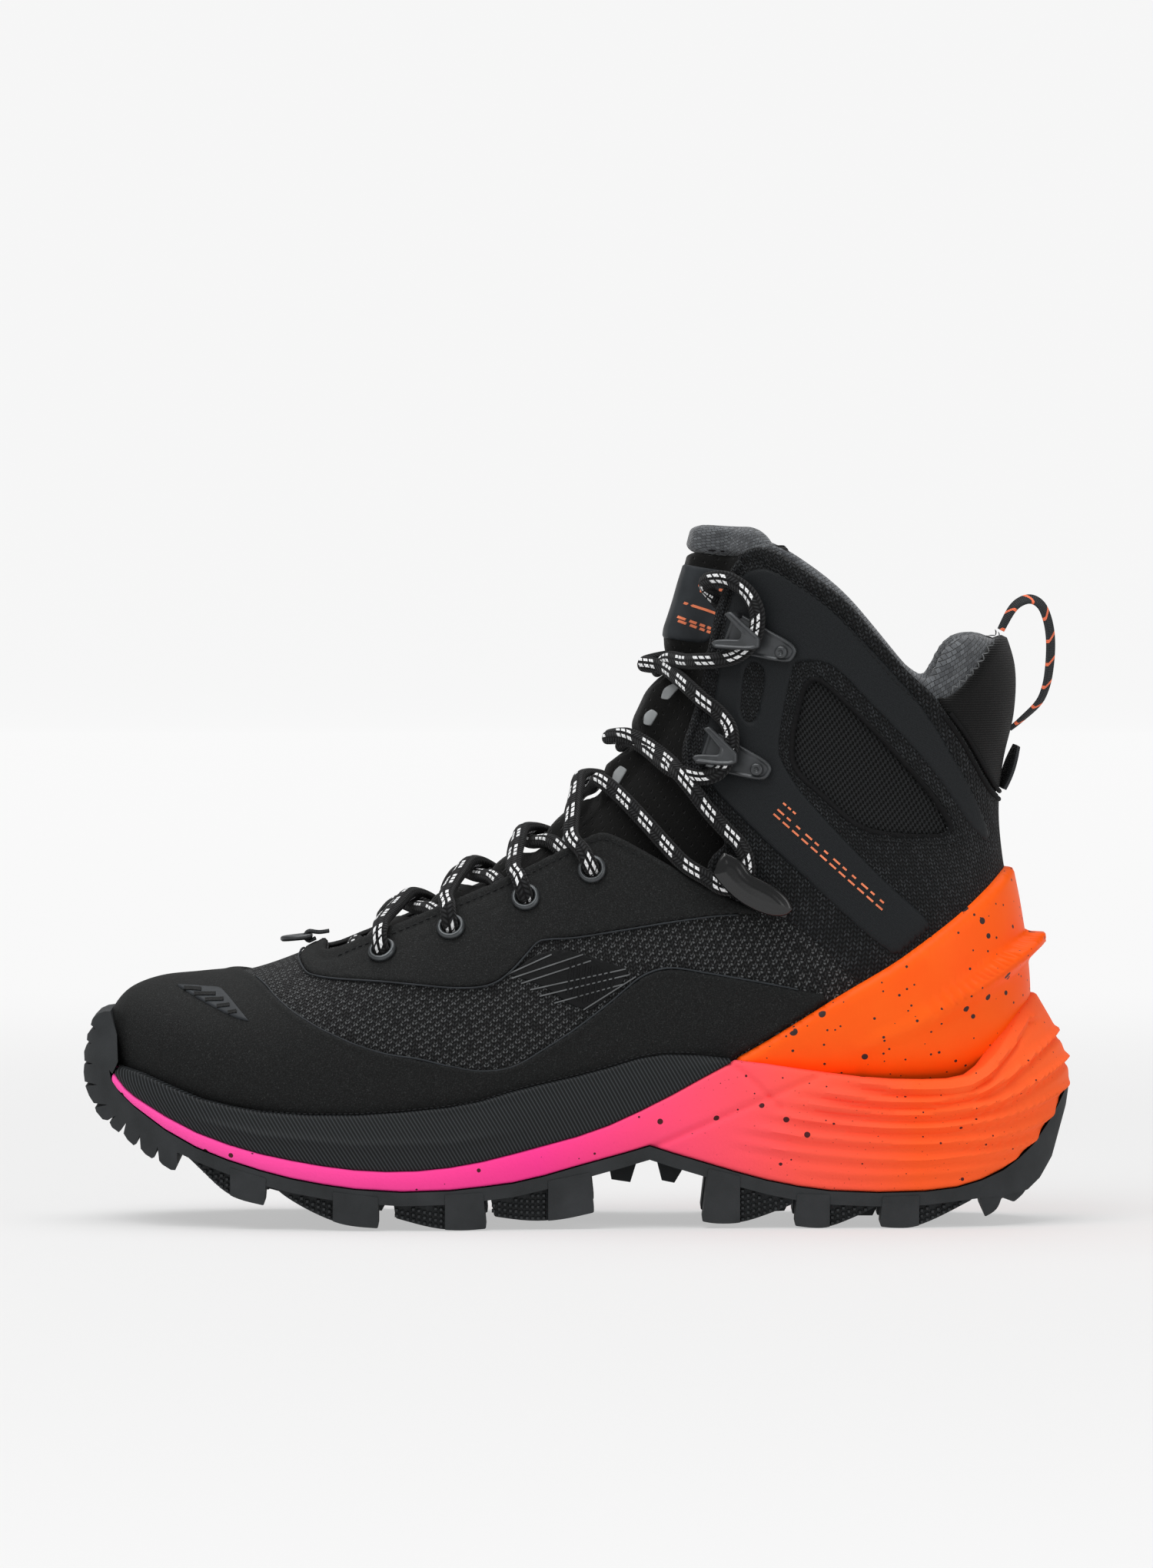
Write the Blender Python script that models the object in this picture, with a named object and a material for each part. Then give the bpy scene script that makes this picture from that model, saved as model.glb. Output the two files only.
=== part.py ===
"""A left mid-height hiking boot, built as the separate pieces it is sewn, moulded and riveted from.

Frame: millimetres below, metres in Blender. The toe points to -X, the heel to +X, the outer (lateral)
side of the foot to -Y and +Z is up. The origin is on the ground under the middle of the sole.

Everything soft is laid over one surface, the form: the outside of the knitted upper. A place on the form
is a station s, counted along the ribs below from the toe to the top of the shaft, and an angle a round
the rib, from 0 on the ridge of the instep to pi under the sole, negative on the lateral side. Each
layer of the boot is a shell between two depths of the form, trimmed to its outline in side view.
"""

import math

import bmesh
import bpy
import numpy as np
from mathutils import Vector

MM = 0.001
LATERAL, MEDIAL = -1, 1
SIDES = {LATERAL: "lateral", MEDIAL: "medial"}
GAP = 0.3            # between pieces that touch
FAR = 90.0           # past the object in y
CENTRE = (0.00016, 0.0015, 0.0)     # in metres: puts the middle of the box on the origin

# ---------------------------------------------------------------- layers, depth from the form
OVERLAY = (0.3, 1.3)         # welded film and microfibre on the outside
UPPER = (-1.6, 0.0)          # knitted upper
STIFFENER = (-3.1, -1.9)     # toe puff, insulation and heel counter share this layer
LINING_T = 1.2
LINING_DEPTH = 1.9           # of the lining's outer face
UNDER_STIFFENER = 1.5        # extra depth of the lining behind the toe puff and the heel counter
COLLAR_FOAM = 5.0            # extra depth of the lining behind the collar foam
TONGUE_RIDGE, TONGUE_WING_FOOT, TONGUE_WING_SHAFT = 7.9, 7.9, 10.6
TONGUE_T_FOOT, TONGUE_T_SHAFT = 3.2, 6.0
SOLE_CLEAR = 1.6             # the sole unit's hollow, clear of the overlays
SOLE_FILL = -8.0             # how far the midsole's filling stays inside the sole's edge

# ---------------------------------------------------------------- ribs of the form
# ridge x, z | sole or heel x, z | lateral y, medial y | height of the widest place | top, bottom fullness
RIBS = (
    (-148.5, 57.0, -148.5, 57.0, 6.0, 6.0, 0.45, 2.1, 2.2),
    (-147.9, 63.5, -147.9, 50.5, -7.0, 19.0, 0.45, 2.1, 2.2),
    (-145.5, 69.0, -145.3, 46.0, -15.0, 26.0, 0.44, 2.1, 2.3),
    (-140.5, 73.6, -140.0, 41.5, -24.0, 33.0, 0.43, 2.1, 2.4),
    (-131.5, 76.8, -131.0, 36.5, -33.0, 39.0, 0.42, 2.1, 2.6),
    (-119.0, 78.2, -118.5, 32.0, -40.5, 44.0, 0.40, 2.1, 2.8),
    (-104.0, 80.0, -103.5, 28.3, -46.0, 47.0, 0.38, 2.1, 3.0),
    (-89.0, 85.0, -88.0, 25.5, -49.5, 48.5, 0.37, 2.1, 3.2),
    (-75.0, 91.4, -72.0, 24.0, -51.0, 48.0, 0.36, 2.1, 3.3),
    (-60.0, 100.0, -55.0, 23.5, -50.5, 46.0, 0.35, 2.1, 3.4),
    (-44.5, 108.3, -36.0, 24.8, -48.5, 42.0, 0.35, 2.1, 3.4),
    (-29.0, 116.5, -16.0, 27.5, -45.5, 38.0, 0.35, 2.1, 3.4),
    (-15.0, 125.5, 5.0, 31.5, -42.0, 34.5, 0.36, 2.1, 3.4),
    (-3.0, 136.0, 28.0, 35.5, -39.5, 33.0, 0.37, 2.1, 3.4),
    (6.0, 147.0, 53.0, 38.5, -38.0, 33.5, 0.38, 2.1, 3.4),
    (12.5, 157.5, 80.0, 40.0, -37.5, 35.0, 0.40, 2.1, 3.3),
    (17.0, 166.5, 106.0, 41.0, -37.0, 35.5, 0.42, 2.1, 3.2),
    (20.5, 174.5, 126.0, 44.0, -36.5, 35.5, 0.44, 2.1, 3.0),
    (23.5, 182.0, 137.0, 53.0, -36.0, 35.0, 0.46, 2.1, 2.7),
    (26.0, 189.0, 140.8, 68.0, -35.5, 34.5, 0.48, 2.1, 2.4),
    (28.5, 196.5, 140.3, 84.0, -35.0, 34.0, 0.49, 2.1, 2.3),
    (30.5, 203.5, 138.0, 100.0, -34.5, 33.5, 0.50, 2.1, 2.2),
    (32.5, 210.0, 135.0, 116.0, -34.5, 33.5, 0.50, 2.1, 2.2),
    (34.0, 216.5, 133.8, 132.0, -35.0, 34.0, 0.50, 2.1, 2.2),
    (35.5, 222.0, 135.5, 147.0, -36.0, 35.0, 0.50, 2.1, 2.2),
    (37.0, 228.0, 138.8, 162.0, -37.0, 36.0, 0.50, 2.1, 2.2),
    (38.5, 233.0, 139.0, 177.0, -37.5, 36.5, 0.50, 2.1, 2.2),
    (40.0, 238.0, 134.5, 191.0, -38.0, 37.0, 0.50, 2.1, 2.2),
)
STATIONS = (1, 2, 3, 4, 5.5, 7, 9, 11, 12.5, 14, 15, 16, 17, 18, 19, 20, 21.5, 23, 25, 27)
HALF_ANGLES = (0, 15, 32, 50, 68, 88, 110, 134, 158, 180)
ANGLES = [math.radians(a) for a in HALF_ANGLES] + [-math.radians(a) for a in HALF_ANGLES[-2:0:-1]]

# ---------------------------------------------------------------- side-view curves, x and z
OUTSOLE_TOP = ((-148.3, 49.3), (-147.5, 46), (-145, 42.5), (-140, 38), (-130, 31), (-120, 25.7), (-110, 22),
               (-100, 19), (-90, 16.5), (-80, 14.7), (-70, 13.3), (-55, 12.4), (-40, 12.8), (-30, 13.8),
               (-20, 15), (-10, 17.2), (0, 20), (15, 24), (23, 26.3), (30, 24), (40, 21), (50, 18),
               (60, 15.3), (70, 13.3), (80, 12), (95, 11.4), (110, 11.7), (120, 12.8), (128, 15), (135, 18),
               (140, 21.5), (145, 26), (150, 33), (153, 38), (156.5, 44.5))
MIDSOLE_TOP = ((-148.3, 50), (-146, 46.8), (-143, 43.3), (-140, 41), (-130, 35.2), (-120, 30.4), (-110, 26.9),
               (-100, 24.2), (-90, 22.2), (-80, 20.5), (-70, 19.3), (-60, 18.8), (-50, 19), (-40, 20),
               (-30, 21.7), (-20, 24.1), (-10, 26.7), (0, 29.3), (10, 32.7), (20, 37.2), (30, 42.2),
               (40, 47.7), (50, 53))
CRADLE_FOOT = ((50, 53), (60, 51.8), (70, 50.2), (80, 48.8), (90, 47.6), (100, 46.9), (110, 46.7),
               (118, 46.9), (124, 48), (128.5, 50.8), (133, 55), (138, 62), (142, 68.5), (145.5, 72.5))
RAND_TOP = ((-148.3, 50.5), (-140, 48.7), (-135, 46.8), (-130, 44.8), (-120, 41), (-110, 38.8), (-100, 37.2),
            (-85, 36.3), (-70, 36.3), (-55, 37.2), (-40, 38.6), (-30, 40.4), (-20, 43.4), (-10, 45.8),
            (0, 48), (10, 50.6), (20, 53.6), (28, 54.8), (38, 54.6), (50, 53.3))
CRADLE_TOP = ((50.3, 53.5), (60, 59), (70, 65.2), (80, 71.5), (90, 77.5), (100, 83.3), (110, 90.5),
              (120, 98), (130, 107), (135, 112.5), (138, 114.3), (142, 113))
FIN_TOP = ((78, 55), (95, 62), (105, 67), (115, 72), (125, 79.5), (135, 88), (143, 94.6), (151, 95.4))
FIN_FOOT = ((151, 92), (147, 88.2), (143, 85), (135, 77.5), (125, 69.5), (112, 61.5), (95, 56), (78, 51.5))
THROAT = ((-79.5, 86.3), (-75, 87.2), (-70, 89.4), (-60, 93.4), (-50, 97.6), (-40, 102), (-30, 106.2),
          (-20, 110.7), (-10, 115.8), (0, 121), (6, 124), (9, 124.5), (13, 123.2), (20, 119.6), (30, 114),
          (40, 108.4), (46, 105.2))
QUARTER_FRONT = ((42, 109), (40.8, 113), (42.5, 117.5), (47, 121), (44.5, 126.5), (40, 132), (36, 139),
                 (33.3, 146), (33.3, 152), (35.5, 158), (38, 166), (40, 174), (41.5, 182), (43, 190),
                 (45, 198), (48, 206), (50.5, 210.5))
COLLAR = ((53, 213.5), (57, 215), (61, 214.3), (66, 211.5), (72, 207.5), (80, 202), (86, 197), (92, 190),
          (98, 183), (104, 176), (108, 172.3), (112.5, 168.5))
COLLAR_STRIP = ((117, 162), (122, 155), (126, 148), (129.5, 141.5), (132.5, 137), (137, 133))
HEEL_COLLAR = ((116, 166.5), (120, 168), (125, 173), (130, 181), (133.5, 186), (141, 188))
LINING_RIM = ((55, 215.5), (60, 216), (66, 213), (72, 209), (80, 203.5), (86, 198.5), (92, 191.5),
              (98, 184.5), (104, 177.5), (108, 174), (112, 172), (115, 176), (118, 181.5), (122, 185.5),
              (127, 188), (131, 188.6), (135, 187.3), (145, 186))
LINING_THROAT = ((-86, 78.5), (-72, 77), (-61, 77.5), (-50, 80.5), (-39.5, 85), (-27, 89.5), (-16, 94.5),
                 (-5, 99.5), (5, 103.5), (16, 104.5), (30, 100), (44, 96.5), (52, 96), (56, 101), (54, 112),
                 (50, 124), (42, 137), (39, 147), (40, 156), (43, 168), (46, 182), (48, 192), (51, 202))
TONGUE_FOOT = ((-90, 72), (-61, 70), (-39.5, 77), (-16, 86), (5, 94), (30, 90), (50, 88), (55, 98),
               (53, 112), (51, 130), (49, 146), (50, 160), (54, 180), (59, 200), (61.5, 212))
TONGUE_TOP = ((60, 214.6), (30, 214.6))
TONGUE_CAP_TOP = ((60.5, 216.8), (55, 219.7), (50, 221.6), (44.5, 222.4), (40.5, 221.6), (37.3, 219.2),
                  (35.5, 216.5), (34, 214.9))
GUARD_TOP = ((-150, 90), (-103.5, 90), (-101.5, 79), (-98, 75.5), (-95, 72.5), (-90, 68.5), (-85, 65.5),
             (-80, 62.8), (-70, 58.5), (-60, 55.5), (-50, 54), (-40, 51.6), (-30, 50), (-20, 51.4),
             (-10, 57), (0, 63.4), (10, 71), (15, 75.2), (20, 79.2), (26, 81.7), (32, 82), (40, 80.7),
             (50, 79), (60, 77.2), (70, 75.2), (79, 73.4))
EYESTAY_FOOT = ((57, 99.4), (51, 98.8), (44, 98.4), (30, 96.5), (15, 94), (0, 91.6), (-9, 91), (-12.5, 90),
                (-16, 86.3), (-20, 82), (-25, 78), (-31, 76.2), (-40, 76), (-50, 76.8), (-62, 77.7),
                (-76, 78.2), (-82, 78.8), (-85.5, 80), (-88, 84), (-86.5, 86.2), (-83, 88))
QUARTER_BAND = ((52, 206), (57, 208.6), (63, 207.6), (70, 203.4), (77, 198.8), (85, 191.4), (92, 184),
                (100, 175.4), (106, 168.8), (112, 160.4), (118, 150.4), (122, 143.2), (126, 135),
                (129, 128), (130.6, 122), (129, 121.2), (124, 126.3), (118, 136), (110, 147), (100, 158),
                (90, 168), (83, 176), (77, 179), (69, 178.5), (67, 171), (65, 160), (63.5, 150),
                (66.5, 144.5), (70, 138.5), (80, 127.3), (90, 116.8), (100, 107), (110, 98.2), (112.5, 94.6),
                (101, 85.4), (93, 91), (80, 102.8), (70, 112), (60, 121), (52, 129), (44, 137), (39.6, 143.5),
                (38.6, 150), (42, 160), (44, 170), (45.5, 180), (47, 190), (49, 199))
WINDOW = ((72.5, 171), (75, 172.8), (78, 171.5), (85, 165), (95, 155), (105, 144), (112, 135.8),
          (117, 128), (118, 124.8), (113, 123.8), (103, 124.3), (93, 125.6), (87, 128.6), (78, 137),
          (71, 143), (68.4, 147.5), (68.6, 155), (70.4, 163.5))
SLOT = ((55.5, 178.5), (58.5, 177.5), (59.6, 174), (57.8, 165), (56.5, 160.5), (54, 159.2), (52, 162),
        (52.4, 170), (53.2, 176))
STIFF_TOE = ((-150, 86), (-118, 86), (-112, 70), (-106, 50), (-100, 39), (-100, 20))
STIFF_HEEL = ((104, 30), (88, 42), (92, 70), (104, 96), (118, 112), (128, 120), (145, 122))
FOAM_FOOT = ((70, 206), (72, 196), (76, 178), (84, 162), (96, 148), (110, 139), (124, 133), (140, 130))
BOARD_RISE = 5.5                 # how far the lasting board's edge is turned up, above the form's sole line
INSOLE_T, INSOLE_RISE = 3.8, 9.0

# ---------------------------------------------------------------- sole unit in plan and its levels
# x, lateral y, medial y of the sole's edge
SOLE_PLAN = ((-157, 6, 6), (-155.5, -6, 18), (-150, -18, 28), (-140, -31, 38), (-125, -42, 46),
             (-105, -50.5, 51.5), (-85, -54.5, 53), (-65, -56, 52.5), (-45, -55, 49), (-25, -52, 44.5),
             (-5, -48, 41), (15, -44.5, 39), (35, -42.5, 38.5), (60, -42, 39.5), (85, -42, 40.5),
             (110, -40.5, 39.5), (130, -36, 35), (143, -27, 26), (151, -17, 16.5), (154.8, -8, 7.5), (156.5, 0, 0))
# height, x of the toe, x of the heel, width
SOLE_LEVELS = ((-2, -147, 148, 0.965), (14, -150.5, 151.5, 0.99), (30, -154.5, 155, 1.0),
               (45, -157, 156.5, 0.985), (58, -155.5, 153, 0.955), (76, -149.5, 145, 0.90))
TREAD_T = 4.5                    # outsole thickness between the lugs
LUG_DEPTH_Y = 25.0               # how far a side lug reaches in from the sole's edge
TOE_BUMPER = ((-127, 18.3), (-134, 22), (-140, 25.3), (-146, 29.5), (-151, 34), (-154.5, 39), (-156.6, 45),
              (-157.2, 52), (-156, 58), (-153.5, 63.5), (-150.5, 67), (-149, 67.3), (-149.2, 50))
HEEL_WRAP = ((156.8, 44.5), (155.6, 37), (153.4, 29.5), (151, 21), (147, 14.5), (143, 11), (136, 9.5),
             (128, 9.2))
SIDE_LUGS = (
    ((-124, 23.5), (-119, 19), (-112, 12.3), (-107, 9.6), (-98.5, 7.8), (-97.8, 16.5)),
    ((-95, 14.5), (-94, 12), (-85, 6.5), (-76, 2.6), (-70, 1.4), (-62.5, 0.9), (-62.5, 10.8)),
    ((-58, 10.8), (-57, 4), (-45, 0.6), (-36, 0), (-28.5, 0.6), (-29.5, 12)),
    ((-27.5, 12), (-26, 4.3), (-15, 2.6), (-5, 3.0), (5.5, 5.3), (4.2, 18)),
    ((41.5, 19), (39.5, 2.2), (44, 1.4), (52, 1.6), (60, 4.2), (68, 7.5), (68, 12.5)),
    ((69.5, 11), (68.8, 0.8), (75, 0), (80, 0.3), (88, 3.5), (95, 7), (95, 10.2)),
    ((96.5, 10), (95.8, 0.5), (100, 0), (106, 0), (113, 2.5), (125, 8.6), (125, 10.8)),
    ((127, 12), (129, 3), (133, 5), (134.5, 9), (138.5, 7.3), (142.5, 10.4), (144, 16), (130, 14)),
)
CENTRE_LUGS = (
    ((-106, 18), (-103, 12), (-92, 9), (-88, 14.4)),
    ((-78, 12.4), (-75, 5), (-62, 3.5), (-58, 11)),
    ((-46, 11), (-43, 2), (-30, 2), (-27, 12)),
    ((-14, 14.5), (-11, 5), (-1, 6), (2, 18)),
    ((10, 19), (11, 13.5), (17, 12.6), (19, 19)),
    ((25, 21), (27, 13.2), (31, 12.4), (35, 19)),
    ((56, 14), (57, 3), (66, 3.5), (70, 11.2)),
    ((84, 10.5), (85, 2), (94, 2), (98, 10)),
)
CENTRE_LUG_Y = (-11.0, 11.0)

# ---------------------------------------------------------------- hardware
EYELETS = ((-61, 86.5), (-39.5, 94), (-16, 103.5), (5, 112.5))
EYELET_BORE, EYELET_BARREL, EYELET_FLANGE = 2.85, 3.45, 4.6
EYELET_TOP, EYELET_BRIM, EYELET_END = 2.9, 2.05, -1.8
LACE_R = 2.25
HOOK_BASE, HOOK_TOP = (2.1, 3.3), (8.7, 10.1)
HOOK_APEX_ARM = ((50.6, 193.6), (52.6, 194.6), (60.5, 186.4), (60.2, 183.2), (57.5, 182), (47.4, 182.2),
                 (46.4, 184), (48, 185.2), (54.6, 185.5), (55.4, 187.2))
HOOK_LEGS = (((50.6, 193.4), (52.4, 194.4), (53.9, 192.8), (52, 191.6)),
             ((46.5, 184), (47.4, 182.3), (49.4, 182.3), (49.4, 185), (48, 185)))
HOOK_PLATE = ((46.8, 182.6), (50.8, 193.9), (53.2, 193.8), (60.5, 189.2), (69, 184.6), (70, 182), (68.6, 179.2),
              (66.5, 178.2), (55, 180.4))
HOOK_RIVET = (65.3, 181.8)
LOWER_HOOK_SHIFT = (-8.0, -37.4)     # the lower hook is the same part, further down the quarter
KEEPER_COVER = ((43.5, 111.5), (46.5, 117.6), (49.5, 116.6), (52.5, 113.8), (55.5, 109.8), (62, 107.5),
                (66, 104.5), (67.4, 100.3), (64.5, 98.2), (60, 99.2), (52, 103.6), (47, 108.3))
KEEPER_LEG = ((43.7, 111.6), (46.5, 117.3), (48.5, 116.8), (45.5, 110.6))
KEEPER_PLATE = ((43.5, 111.5), (46.5, 117.6), (55, 111.5), (63, 107.6), (67.5, 101), (66, 97.6), (60, 99))
KEEPER_RIVET = (62.6, 102.4)
RIVET_R, RIVET_HEAD_T = 2.0, 0.9

RING_HINGE = (-85.0, 90.5)           # x and z of the lace ring's straight bar
RING_WIRE, RING_BAR, RING_REACH, RING_TILT = 0.9, 5.4, 8.6, -6.0
PULL_LOOP = ((135.9, 189.6), (138.3, 194.2), (141.3, 197), (144.8, 197.7), (148, 195.5), (150, 190.4),
             (150.8, 184), (150.4, 176), (149.2, 169.6), (146.8, 164.6), (143.6, 161), (140.9, 158.9))
PULL_LOOP_T, PULL_LOOP_HALF = 1.3, 4.0
HEEL_TAB = ((135.4, 137.6), (136.9, 142), (138.5, 146.8), (140, 151.2))
HEEL_TAB_T, HEEL_TAB_HALF = 1.5, 8.0


# ================================================================ curves and the form
def catmull(rows, t):
    """The rows read at t as a smooth curve through all of them."""
    rows = np.asarray(rows, float)
    t = np.clip(np.asarray(t, float), 0, len(rows) - 1)
    i = np.minimum(t.astype(int), len(rows) - 2)
    f = (t - i)[..., None]
    p0, p1 = rows[np.maximum(i - 1, 0)], rows[i]
    p2, p3 = rows[i + 1], rows[np.minimum(i + 2, len(rows) - 1)]
    return p1 + 0.5 * f * (p2 - p0 + f * (2 * p0 - 5 * p1 + 4 * p2 - p3 + f * (3 * (p1 - p2) + p3 - p0)))


def smooth(t):
    t = np.clip(t, 0.0, 1.0)
    return t * t * (3 - 2 * t)


def form(s, a):
    """Points of the form at stations s and angles a."""
    s, a = np.broadcast_arrays(np.asarray(s, float), np.asarray(a, float))
    r = catmull(RIBS, s)
    ridge_x, ridge_z, sole_x, sole_z, lateral, medial, wide, top, bottom = np.moveaxis(r, -1, 0)
    c, n = np.cos(a), np.sin(a)
    up = c >= 0
    power = 2 / np.where(up, top, bottom)
    along = np.where(up, (1 - wide), -wide) * np.abs(c) ** power
    u = (1 - wide) - along
    middle, half = (lateral + medial) / 2, (medial - lateral) / 2
    y = middle + half * np.sign(n) * np.abs(n) ** power
    return np.stack([ridge_x + (sole_x - ridge_x) * u, y, ridge_z + (sole_z - ridge_z) * u], -1)


def normals(s, a):
    """Outward normals of the form."""
    top = len(RIBS) - 1
    along = form(np.minimum(s + 0.05, top), a) - form(np.maximum(s - 0.05, 0.02), a)
    around = form(s, a + 0.03) - form(s, a - 0.03)
    n = np.cross(along, around)
    return n / np.maximum(np.linalg.norm(n, axis=-1, keepdims=True), 1e-12)


def skin(s, a, d):
    """Points at distance d outside the form."""
    s, a, d = np.broadcast_arrays(*(np.asarray(v, float) for v in (s, a, d)))
    return form(s, a) + normals(s, a) * d[..., None]


def locate(x, z, side):
    """Station and angle of the place on the form that side view shows at x, z."""
    x, z = np.asarray(x, float), np.asarray(z, float)
    low, high = np.full(x.shape, 0.4), np.full(x.shape, len(RIBS) - 1.0)
    for _ in range(40):
        s = (low + high) / 2
        r = catmull(RIBS, s)
        dx, dz = r[..., 2] - r[..., 0], r[..., 3] - r[..., 1]
        beyond = dx * (z - r[..., 1]) - dz * (x - r[..., 0]) > 0
        low, high = np.where(beyond, s, low), np.where(beyond, high, s)
    r = catmull(RIBS, s)
    dx, dz, wide = r[..., 2] - r[..., 0], r[..., 3] - r[..., 1], r[..., 6]
    u = np.clip(((x - r[..., 0]) * dx + (z - r[..., 1]) * dz) / (dx * dx + dz * dz), 0, 1)
    upper = u < 1 - wide
    c = np.where(upper, (1 - wide - u) / (1 - wide), (u - 1 + wide) / wide)
    angle = np.arccos(np.clip(c ** (np.where(upper, r[..., 7], r[..., 8]) / 2), 0, 1))
    return s, side * np.where(upper, angle, math.pi - angle)


def on_skin(x, z, side, d):
    s, a = locate(x, z, side)
    return skin(s, a, d)


def offset_line(points, by):
    """A polyline moved sideways: to its left for a positive distance."""
    p = np.asarray(points, float)
    t = np.gradient(p, axis=0)
    t /= np.linalg.norm(t, axis=1, keepdims=True)
    return [tuple(q) for q in p + by * np.stack([-t[:, 1], t[:, 0]], 1)]


def inset(outline, by):
    """A closed outline moved inwards."""
    p = np.asarray(outline, float)
    area = np.sum(p[:, 0] * np.roll(p[:, 1], -1) - np.roll(p[:, 0], -1) * p[:, 1])
    t = np.roll(p, -1, 0) - np.roll(p, 1, 0)
    t /= np.linalg.norm(t, axis=1, keepdims=True)
    return [tuple(q) for q in p + by * math.copysign(1, area) * np.stack([-t[:, 1], t[:, 0]], 1)]


def shifted(outline, by):
    return [(x + by[0], z + by[1]) for x, z in outline]


# ================================================================ meshes
def material(name, colour, roughness, metallic=0.0):
    made = bpy.data.materials.get(name)
    if made is None:
        made = bpy.data.materials.new(name)
        made.use_nodes = True
        shader = made.node_tree.nodes["Principled BSDF"]
        shader.inputs["Base Color"].default_value = (*colour, 1)
        shader.inputs["Roughness"].default_value = roughness
        shader.inputs["Metallic"].default_value = metallic
    return made


MATERIALS = {
    "rubber": ((0.02, 0.021, 0.023), 0.75),
    "foam": ((0.95, 0.13, 0.16), 0.7),
    "rand": ((0.03, 0.034, 0.038), 0.6),
    "tpu": ((0.95, 0.22, 0.04), 0.4),
    "knit": ((0.02, 0.02, 0.021), 0.9),
    "film": ((0.017, 0.017, 0.018), 0.6),
    "band": ((0.035, 0.04, 0.043), 0.5),
    "window": ((0.012, 0.012, 0.012), 0.85),
    "padding": ((0.05, 0.05, 0.05), 0.95),
    "lining": ((0.07, 0.07, 0.075), 0.95),
    "tongue": ((0.02, 0.019, 0.018), 0.9),
    "board": ((0.6, 0.58, 0.5), 0.9),
    "stiffener": ((0.5, 0.5, 0.5), 0.8),
    "hardware": ((0.03, 0.03, 0.032), 0.35, 0.2),
    "lace": ((0.02, 0.02, 0.022), 0.85),
    "webbing": ((0.02, 0.02, 0.02), 0.9),
    "label": ((0.04, 0.045, 0.05), 0.6),
}


def new_object(name, points, faces, look=None):
    """A mesh object from points in millimetres, with its faces turned outwards."""
    mesh = bpy.data.meshes.new(name)
    mesh.from_pydata([tuple(float(v) * MM for v in p) for p in points], [], faces)
    bm = bmesh.new()
    bm.from_mesh(mesh)
    bmesh.ops.recalc_face_normals(bm, faces=bm.faces)
    bm.to_mesh(mesh)
    bm.free()
    obj = bpy.data.objects.new(name, mesh)
    bpy.context.scene.collection.objects.link(obj)
    if look:
        mesh.materials.append(material(look, *MATERIALS[look]))
    return obj


def connected(bm):
    """The mesh's separate shells as lists of vertices, the largest first."""
    left, shells = set(bm.verts), []
    while left:
        reached = [left.pop()]
        for v in reached:
            for edge in v.link_edges:
                other = edge.other_vert(v)
                if other in left:
                    left.remove(other)
                    reached.append(other)
        shells.append(reached)
    return sorted(shells, key=len, reverse=True)


def combine(obj, cutter, operation):
    """Applies one Boolean, keeps the largest shell of the result, and removes the cutter."""
    modifier = obj.modifiers.new(operation.lower(), "BOOLEAN")
    modifier.operation = operation
    modifier.solver = "EXACT"
    modifier.object = cutter
    bpy.context.view_layer.update()
    graph = bpy.context.evaluated_depsgraph_get()
    mesh = bpy.data.meshes.new_from_object(obj.evaluated_get(graph))
    obj.modifiers.clear()
    looks = list(obj.data.materials)
    obj.data = mesh
    mesh.name = obj.name
    mesh.materials.clear()
    for look in looks:
        mesh.materials.append(look)
    bm = bmesh.new()
    bm.from_mesh(mesh)
    islands = connected(bm)
    for island in islands[1:]:
        bmesh.ops.delete(bm, geom=island, context="VERTS")
    bm.to_mesh(mesh)
    bm.free()
    bpy.data.objects.remove(cutter)
    return obj


def prism(outline, y0=-FAR, y1=FAR):
    """A side-view outline extruded across the boot, as a cutter."""
    n = len(outline)
    points = [(x, y0, z) for x, z in outline] + [(x, y1, z) for x, z in outline]
    sides = [(i, (i + 1) % n, n + (i + 1) % n, n + i) for i in range(n)]
    return new_object("cutter", points, [tuple(range(n)), tuple(range(n, 2 * n)), *sides])


def keep(obj, outline, y0=-FAR, y1=FAR):
    return combine(obj, prism(outline, y0, y1), "INTERSECT")


def cut(obj, outline, y0=-FAR, y1=FAR):
    return combine(obj, prism(outline, y0, y1), "DIFFERENCE")


def side_range(side):
    return (-FAR, 0.0) if side == LATERAL else (0.0, FAR)


def grid():
    s, a = np.meshgrid(np.array(STATIONS, float), np.array(ANGLES), indexing="ij")
    return s, a


def lattice(rows, columns, at=0):
    """Triangles over a grid that closes round, with the same diagonal in every layer, so that layers nest."""
    faces = []
    for i in range(rows - 1):
        for j in range(columns):
            a, b = at + i * columns + j, at + i * columns + (j + 1) % columns
            faces += [(a, b, b + columns), (a, b + columns, a + columns)]
    return faces


def form_solid(d, name="cutter"):
    """The whole boot as one solid at depth d, with a flat top."""
    s, a = grid()
    depth = d(s, a) if callable(d) else d
    ring = skin(s, a, depth).reshape(-1, 3)
    rows, columns = s.shape
    tip = form(0.0, 0.0) - np.array([np.mean(depth) if callable(d) else d, 0, 0])
    points = [*ring, tip]
    faces = lattice(rows, columns)
    faces += [(len(ring), (j + 1) % columns, j) for j in range(columns)]
    faces.append(tuple((rows - 1) * columns + j for j in range(columns)))
    return new_object(name, points, faces)


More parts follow.
